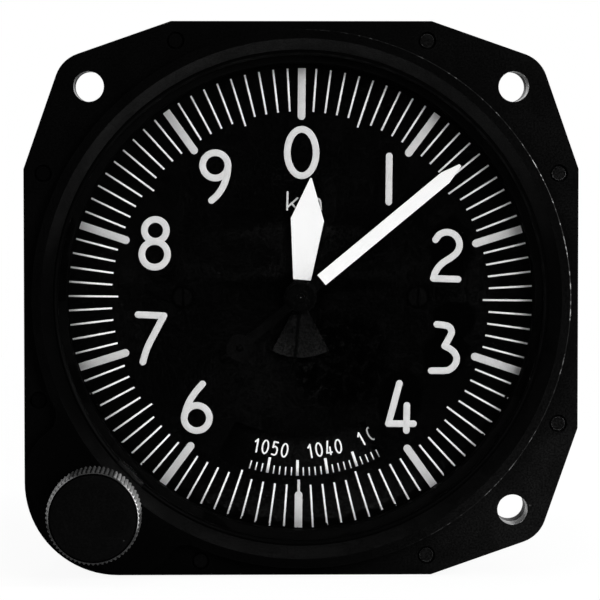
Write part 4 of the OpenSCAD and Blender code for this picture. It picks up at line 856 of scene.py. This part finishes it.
def spring_wire():
    """Blacked spring wire with a lighter line along its crown: worn steel, with painted highlight
    that makes it strongest towards the upper right.
    """
    mat, place, height, mottle = grained("spring_wire", 0.45, 0.015, 0.2, 2.2)
    # Worn crest, and painted highlight towards the upper right
    rubbed = times(band(place, WIRE_R, 0.25),
                   span(mottle, 0.1, 0.9, 0.3, 1.0),
                   toward(place, 60, -0.3, 0.9, 0.1, 1.0))
    return dress(mat, mixed(rubbed, 0.0004, 0.0045), span(height, 0.3, 0.7, 0.3, 0.45),
                 height, 0.004)


# Stains and a painted reflection on the dial: middle, half size, edge, and the share of the tone
# that they leave
DIAL_STAINS_AND_REFLECTION = (
    # Painted reflection of the glass across the middle: a lighter haze, with two darker leaves in
    # it and dark lips below and above it
    ((0, 6.2), (18.5, 4.6), 0.2, 2.2),
    ((-10.8, 6.6), (7.2, 2.5), 0.3, 0.6),
    ((11.5, 6.6), (7.0, 2.8), 0.4, 0.5),
    ((0, 1.9), (13.0, 1.1), 0.4, 0.35),
    ((0, 12.0), (16.0, 1.3), 0.6, 0.65),
    # Smear beside the short pointer, haze to the lower left, light flanks
    ((4.4, 13.5), (0.9, 5.0), 0.5, 1.8),
    ((-6.0, -12.0), (8.0, 6.5), 0.6, 1.9),
    ((-27.5, 0), (4.0, 9.0), 0.6, 1.6),
    ((26.0, -0.5), (2.6, 7.0), 0.6, 1.7),
    # Touched-up rounds behind 2, 3 and 4
    ((22.4, 7.2), (3.4, 5.0), 0.12, 0.15),
    ((23.2, -3.4), (3.4, 3.2), 0.12, 0.2),
    ((21.6, -8.6), (3.3, 3.2), 0.12, 0.15),
    ((15.2, -15.2), (3.4, 4.3), 0.15, 0.2),
    # Darker round the hub
    ((0, 0.8), (4.2, 3.0), 0.3, 0.25),
)


def from_dial_screw(place):
    """A place about the nearer of the two dial screws, with right turned to outwards."""
    across, _, up = axes_of(place)
    out = calc("SUBTRACT", calc("ABSOLUTE", across), DIAL_SCREW_X)
    return out, node(tree_of(place), "CombineXYZ", {0: out, 2: up}).outputs[0]


def dial_paint():
    """Matt black dial with age on it: stains, a painted reflection of the glass across the middle,
    painted shadow in the joints round the two screw heads, a mottled patch below the centre, and a
    greyer lower rim. Every stain, and each part of the painted reflection, is a soft oval on
    wavering coordinates, times its own share."""
    mat, place, height, mottle = grained("dial_paint", 0.85, 0.008, 0.09, 4.0)
    sway = node(mat.node_tree, "TexNoise", {"Vector": place, "Scale": 0.22, "Detail": 3.0})
    sway = sway.outputs["Color"]
    sway = vector("MULTIPLY", vector("SUBTRACT", sway, (0.5, 0.5, 0.5)), (3.4, 3.4, 3.4))
    wavy = vector("ADD", place, sway)
    tone = span(mottle, 0.0, 1.0, 0.0005, 0.0009)
    for middle, half, edge, share in DIAL_STAINS_AND_REFLECTION:
        tone = times(tone, span(spot(wavy, half, edge, middle), 0, 1, 1, share))
    # Painted shadow in the joint round each screw head, strongest on the outer side and a little
    # below
    own = from_dial_screw(place)[1]
    joint_shadow = times(band(own, 1.6, 0.26), toward(own, -20, -0.6, 0.6, 0.3, 0.95))
    tone = mix_value(joint_shadow, tone, 0.0)
    # Greyer lower rim
    low = vector("DOT_PRODUCT", place, (0.1, 0, -0.995))
    tone = mix_value(span(low, 25.0, 33.0), tone, 0.0033)
    # Mottled patch where the finish has crazed
    crazed = spot(wavy, (7.4, 7.2), 0.25, (5.8, -9.6))
    flakes = span(noise(place, 0.8, 6.0, Roughness=0.78), 0.49, 0.6, 0.0, 1.7)
    tone = mix_value(crazed, tone, times(tone, flakes))
    # Old compound smeared under the bars, against the wall, with a ragged inner edge
    ragged = noise(place, 0.9, 4.0)
    reach = calc("ADD", from_axis(place), times(ragged, 2.6))
    smeared = times(span(reach, 34.95, 35.15), span(low, 8.0, 20.0))
    tone = mix_value(smeared, tone, 0.0002)
    colour = grey_of(speckled(place, tone, 0.05, 2.2))
    colour = dusty(place, colour, 3.4, 0.25, 0.13, 0.4, 0.05)
    return dress(mat, colour, span(height, 0.3, 0.7, 0.78, 0.92), height, 0.008)


def print_white(name, level, outer=1.0):
    """Printed or filled white: slightly uneven, greyer where it has thinned. The level is
    multiplied by outer towards the outer ends of the bars, a painted light that makes up for the
    shadow that the wall round the dial casts there."""
    mat, place, height, mottle = grained(name, 0.6, 0.3, 0.12, 1.4)
    tone = mix_value(times(mottle, 0.7), level, level * 0.86)
    tone = times(tone, span(from_axis(place), 29.0, 35.0, 1.0, outer))
    return dress(mat, grey_of(tone), span(height, 0.3, 0.7, 0.52, 0.7), height, 0.006)


def pointer_enamel(name, turn, start, dark, near, far, seam=False):
    """White enamel on the blade, from a start along it to the tip, and dull black on the
    hub and tail, whose tone is near by the hub and far at the end of the tail, with a
    darker seam along the tail where there is one."""
    mat, place, height, mottle = grained(name, 0.5, 0.02, 0.1, 3.0)
    aside, _, along = axes_of(place_mm(mat, turn=-turn))
    edge = calc("ADD", along, times(noise(place, 6.0, 2.0), 0.06))
    white = span(edge, start, start + 0.05)
    tone = times(span(mottle, 0.0, 1.0, dark * 0.75, dark * 1.3),
                 span(along, -4.0, -10.5, near, far))
    tone = mix_value(spot(place, (2.6, 2.6), 0.05), tone, 0.002)
    if seam:
        line = span(calc("ABSOLUTE", aside), 0.12, 0.42, 0.1, 1.0)
        tone = times(tone, mix_value(span(along, -2.4, -2.7), 1.0, line))
    tail = grey_of(speckled(place, tone))
    tail = dusty(place, tail, 2.6, 0.3, 0.1, 0.4, 0.06)
    blade = mixed(times(mottle, 0.5), 0.86, 0.8)
    return dress(mat, mixed(white, tail, blade), mix_value(white, 0.62, 0.45), height, 0.005)


def dial_screw_black():
    """Two blacked screw heads, the same distance to the left and to the right of the centre, each
    with its slot upright: painted shade darkens the slot and a line round the head's edge where it
    meets the dial."""
    mat, place, height, mottle = grained("dial_screw_black", 0.5, 0.01, 0.1, 1.2)
    out, own = from_dial_screw(place)
    # Painted shade in the slot and round the edge of the head
    slot = span(calc("ABSOLUTE", out), 0.12, 0.2, 0.1, 1.0)
    tone = times(spot(own, (1.34, 1.34), 0.05), slot,
                 span(mottle, 0, 1, 0.0011, 0.0016))
    return dress(mat, grey_of(speckled(place, tone)), height=height)


def cap_black():
    """Dull black cap with faint turning marks and a darker line at its edge."""
    mat = finish_start("cap_black", 0.55, gloss=0.015)
    place = place_mm(mat)
    marks = use(TURNING, place, Pitch=0.14)
    colour = mixed(marks["Sheen"], 0.0003, 0.0009)
    colour = mixed(band(place, CAP_R, 0.12), colour, 0.0001)
    return dress(mat, colour, height=marks["Height"], depth=0.006)


def knob_finish():
    """Matt black knob face; the rim and the reeds round it rubbed to bare metal, black in their
    grooves. The metal shows mostly towards the upper right and less towards the upper left, as
    painted highlight, and the black beyond the face's edge is darkened as painted shade of the
    groove round the face and of the grooves between the reeds. Both follow the distance from the
    knob's own axis."""
    mat, place, height, mottle = grained("knob_finish", 0.6, 0.01, 0.1, 3.5, (KNOB_X, 0, KNOB_Y))
    radius = from_axis(place)
    # Worn metal on the rim and the reed crests, with painted highlight that keeps it mostly to the
    # upper right and partly to the upper left
    rim = times(span(radius, KNOB_FACE_R + 0.22, KNOB_FACE_R + 0.26),
                span(axes_of(place)[1], -KNOB_TOP + 0.3, -KNOB_TOP + 0.2),
                calc("MAXIMUM", toward(place, 18, 0.8, 0.97, 0.05, 1.0),
                     toward(place, 150, 0.7, 0.98, 0.0, 0.35)))
    crest = times(span(radius, KNOB_R - RIDGE_DEPTH * 0.95, KNOB_R - RIDGE_DEPTH * 0.35),
                  calc("MAXIMUM", toward(place, 35, 0.85, 0.97, 0.07, 1.0),
                       toward(place, 150, 0.8, 0.98, 0.0, 0.5)))
    rubbed = times(calc("MAXIMUM", rim, crest),
                   span(mottle, 0, 1, 0.7, 1.0))
    face = speckled(place, span(mottle, 0.0, 1.0, 0.0012, 0.0015), 0.75, 1.25)
    # Painted shade: the black beyond the face's edge, in the groove round it and between the reeds,
    # is near black
    groove_shade = span(radius, KNOB_FACE_R - 0.02, KNOB_FACE_R + 0.02, 1.0, 0.08)
    face = dusty(place, grey_of(times(face, groove_shade)), 2.2, 0.2, 0.1, 0.3, 0.08)
    colour = mixed(rubbed, face, mixed(height, 0.5, 0.8))
    return dress(mat, colour, mix_value(rubbed, 0.62, 0.36), height, 0.012, rubbed)


def scale_paint():
    """Matt black pressure scale, greyest just right of the middle."""
    mat, place, height, mottle = grained("scale_paint", 0.75, 0.01, 0.1, 3.0)
    across = axes_of(place)[0]
    tone = times(span(across, -11.0, 0.0, 0.0003, 0.0026),
                 span(across, 3.0, 13.0, 1.0, 0.75),
                 span(mottle, 0, 1, 0.8, 1.2))
    return dress(mat, grey_of(speckled(place, tone)), span(height, 0.3, 0.7, 0.68, 0.82),
                 height, 0.008)


# Clean and tarnished colours of the metals
STEEL = ((0.56, 0.56, 0.57), (0.34, 0.33, 0.31))
BRASS = ((0.66, 0.47, 0.20), (0.36, 0.24, 0.11))

line_white = print_white("line_white", 0.95)
compound = rubber("old_compound", 0.0005, 0.12, gloss=0.0)

finishes = {
    "frame_black": frame_paint(),
    "case_black": satin_black("case_paint", level=0.014, rough=0.42, grain_size=0.3,
                              mottle_size=9.0, bare=0.4, reach=0.3, amount=0.6, depth=0.03,
                              gloss=0.2),
    "gasket_rubber": rubber("gasket_rubber", 0.012, 0.18),
    "black_screw": satin_black("screw_black", level=0.0032, rough=0.45, grain_size=0.12,
                               mottle_size=1.5, bare=0.2, reach=0.1, amount=0.8, left=0.05),
    "cover_glass": cover_glass(),
    "seal_rubber": rubber("seal_rubber", 0.0012, 0.1),
    "spring_steel": spring_wire(),
    "dial_black": dial_paint(),
    "dial_screw_black": dial_screw_black(),
    "cast_alloy": bare_metal("machined_alloy", (0.50, 0.51, 0.52), (0.28, 0.28, 0.28), 0.42),
    "bright_steel": bare_metal("bright_steel", *STEEL, 0.26, pitch=0.08),
    "gear_brass": bare_metal("gear_brass", *BRASS, 0.32, pitch=0.1),
    "blued_steel": bare_metal("blued_steel", (0.07, 0.11, 0.24), (0.10, 0.08, 0.12), 0.28,
                              pitch=0.08),
    "port_alloy": bare_metal("port_alloy", (0.40, 0.41, 0.42), (0.22, 0.22, 0.22), 0.4,
                             centre=(0, 0, -20), pitch=0.3, depth=0.012),
    "knob_black": knob_finish(),
    "scale_black": scale_paint(),
    "capsule_bronze": bare_metal("capsule_bronze", (0.60, 0.42, 0.22), (0.38, 0.27, 0.16), 0.34,
                                 pitch=0.25),
}
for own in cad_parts.values():
    for slot in own.material_slots:
        if slot.material.name in finishes:
            slot.material = finishes[slot.material.name]

own_finishes = {
    "long_pointer": pointer_enamel("long_pointer_enamel", LONG_TURN, start=4.05, dark=0.0012,
                                   near=0.2, far=1.1),
    "short_pointer": pointer_enamel("short_pointer_enamel", SHORT_TURN, start=2.6, dark=0.0042,
                                    near=0.6, far=1.4, seam=True),
    "pointer_cap": cap_black(),
    "centre_staff": bare_metal("staff_steel", *STEEL, 0.3, pitch=0.08, black=(0.8, 6.2, 0.06)),
    # The wheel's middle, which shows round the cap, is near black
    "short_wheel": bare_metal("wheel_brass", *BRASS, 0.32, pitch=0.1, black=(3.6, 11.0, 0)),
}
for name, finish in own_finishes.items():
    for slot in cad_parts[name].material_slots:
        slot.material = finish

# Pieces

add_piece("dial_numerals", dial_numerals(), "case", print_white("numeral_white", 0.64))
add_piece("dial_lines_fine", dial_ticks(False), "case", line_white)
# The bold bars are lighter towards their outer ends as painted light against the wall's shadow
add_piece("dial_lines_bold", dial_ticks(True), "case",
          print_white("bar_white", 0.575, outer=1.32))
add_piece("pressure_scale_marks", scale_marks(), "pressure_disc", line_white)
add_piece("compound_bead", compound_bead(), "case", compound)
add_piece("compound_crumbs", compound_crumbs(), "case", compound)
add_piece("counterweight_rivet", rivet_head(), "long_pointer",
          satin_black("rivet_black", level=0.0008, rough=0.5, grain_size=0.1, mottle_size=1.2,
                      bare=0.008, reach=0.08, amount=0.5), shut=True)
knob = add_piece("knob_grip", knob_skin(), "knob", finishes["knob_black"], shut=True)
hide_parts("knob")

# Camera, light and floor

scene = bpy.context.scene
scene.view_settings.view_transform = "Standard"

CAMERA_AT = Vector((-0.0116, -0.503, 0.0252))
LOOK_AT = Vector((-0.00022, 0.0, -0.00015))
camera_data = bpy.data.cameras.new("camera")
camera_data.sensor_width = 36
camera_data.lens = 203.84
camera = bpy.data.objects.new("camera", camera_data)
camera.location = CAMERA_AT
camera.rotation_euler = (LOOK_AT - CAMERA_AT).to_track_quat("-Z", "Y").to_euler()
scene.collection.objects.link(camera)
scene.camera = camera

# White backdrop all round for the camera. What shiny faces show of the studio is white
# behind the object and falls to near black on the reader's side, where the room is dark.
world = bpy.data.worlds.new("studio")
scene.world = world
world.use_nodes = True
studio = world.node_tree
studio.nodes.clear()
ray = node(studio, "LightPath").outputs
backwards = axes_of(node(studio, "TexCoord").outputs["Generated"])[1]
shiny = calc("MAXIMUM", ray["Is Glossy Ray"], ray["Is Transmission Ray"])
strength = mix_value(shiny, 0.42, span(backwards, -0.1, 0.7, 0.004, 1.0))
strength = mix_value(ray["Is Camera Ray"], strength, 1.0)
sky = node(studio, "Background", {"Color": (1, 1, 1, 1), "Strength": strength})
node(studio, "OutputWorld", {"Surface": sky.outputs[0]})
arrange(studio)


def lamp(name, at, power, size):
    """Soft square lamp aimed at the dial."""
    data = bpy.data.lights.new(name, "AREA")
    data.energy = power
    data.size = size
    obj = bpy.data.objects.new(name, data)
    obj.location = at
    obj.rotation_euler = (-Vector(at)).to_track_quat("-Z", "Y").to_euler()
    scene.collection.objects.link(obj)


lamp("right_lamp", (0.36, -0.64, 0.22), 3.9, 0.36)
lamp("left_lamp", (-0.34, -0.62, 0.3), 1.4, 0.36)
lamp("side_lamp", (0.62, -0.05, 0.25), 3.0, 0.14)
lamp("top_lamp", (0.0, 0.12, 0.8), 3.0, 0.5)


def pale_floor():
    """White to the camera but for the object's soft shadow, and wholly white further off."""
    mat = finish_start("pale_floor", 0.9, gloss=0.0)
    tree = mat.node_tree
    surface = tree.nodes["Principled BSDF"]
    surface.inputs["Base Color"].default_value = (0.9, 0.9, 0.9, 1)
    glow = node(tree, "Emission", {"Color": (1, 1, 1, 1), "Strength": 1.0})
    far = vector("LENGTH", node(tree, "TexCoord").outputs["Object"])
    seen = node(tree, "LightPath").outputs["Is Camera Ray"]
    share = times(seen, span(far, 0.12, 0.5, 0.93, 1.0))
    return end_with(mat, share, surface.outputs[0], glow.outputs[0])


# The floor reaches from just before the flange backwards
FLOOR_FRONT, FLOOR_REACH = -0.035, 3
FLOOR_Z = cad_box[0][2] - 0.0002
floor_mesh = bpy.data.meshes.new("floor")
floor_mesh.from_pydata([(x, y, FLOOR_Z) for x, y in (
    (-FLOOR_REACH, FLOOR_FRONT), (FLOOR_REACH, FLOOR_FRONT), (FLOOR_REACH, FLOOR_REACH),
    (-FLOOR_REACH, FLOOR_REACH))], [], [(0, 1, 2, 3)])
floor = bpy.data.objects.new("floor", floor_mesh)
scene.collection.objects.link(floor)
floor_mesh.materials.append(pale_floor())
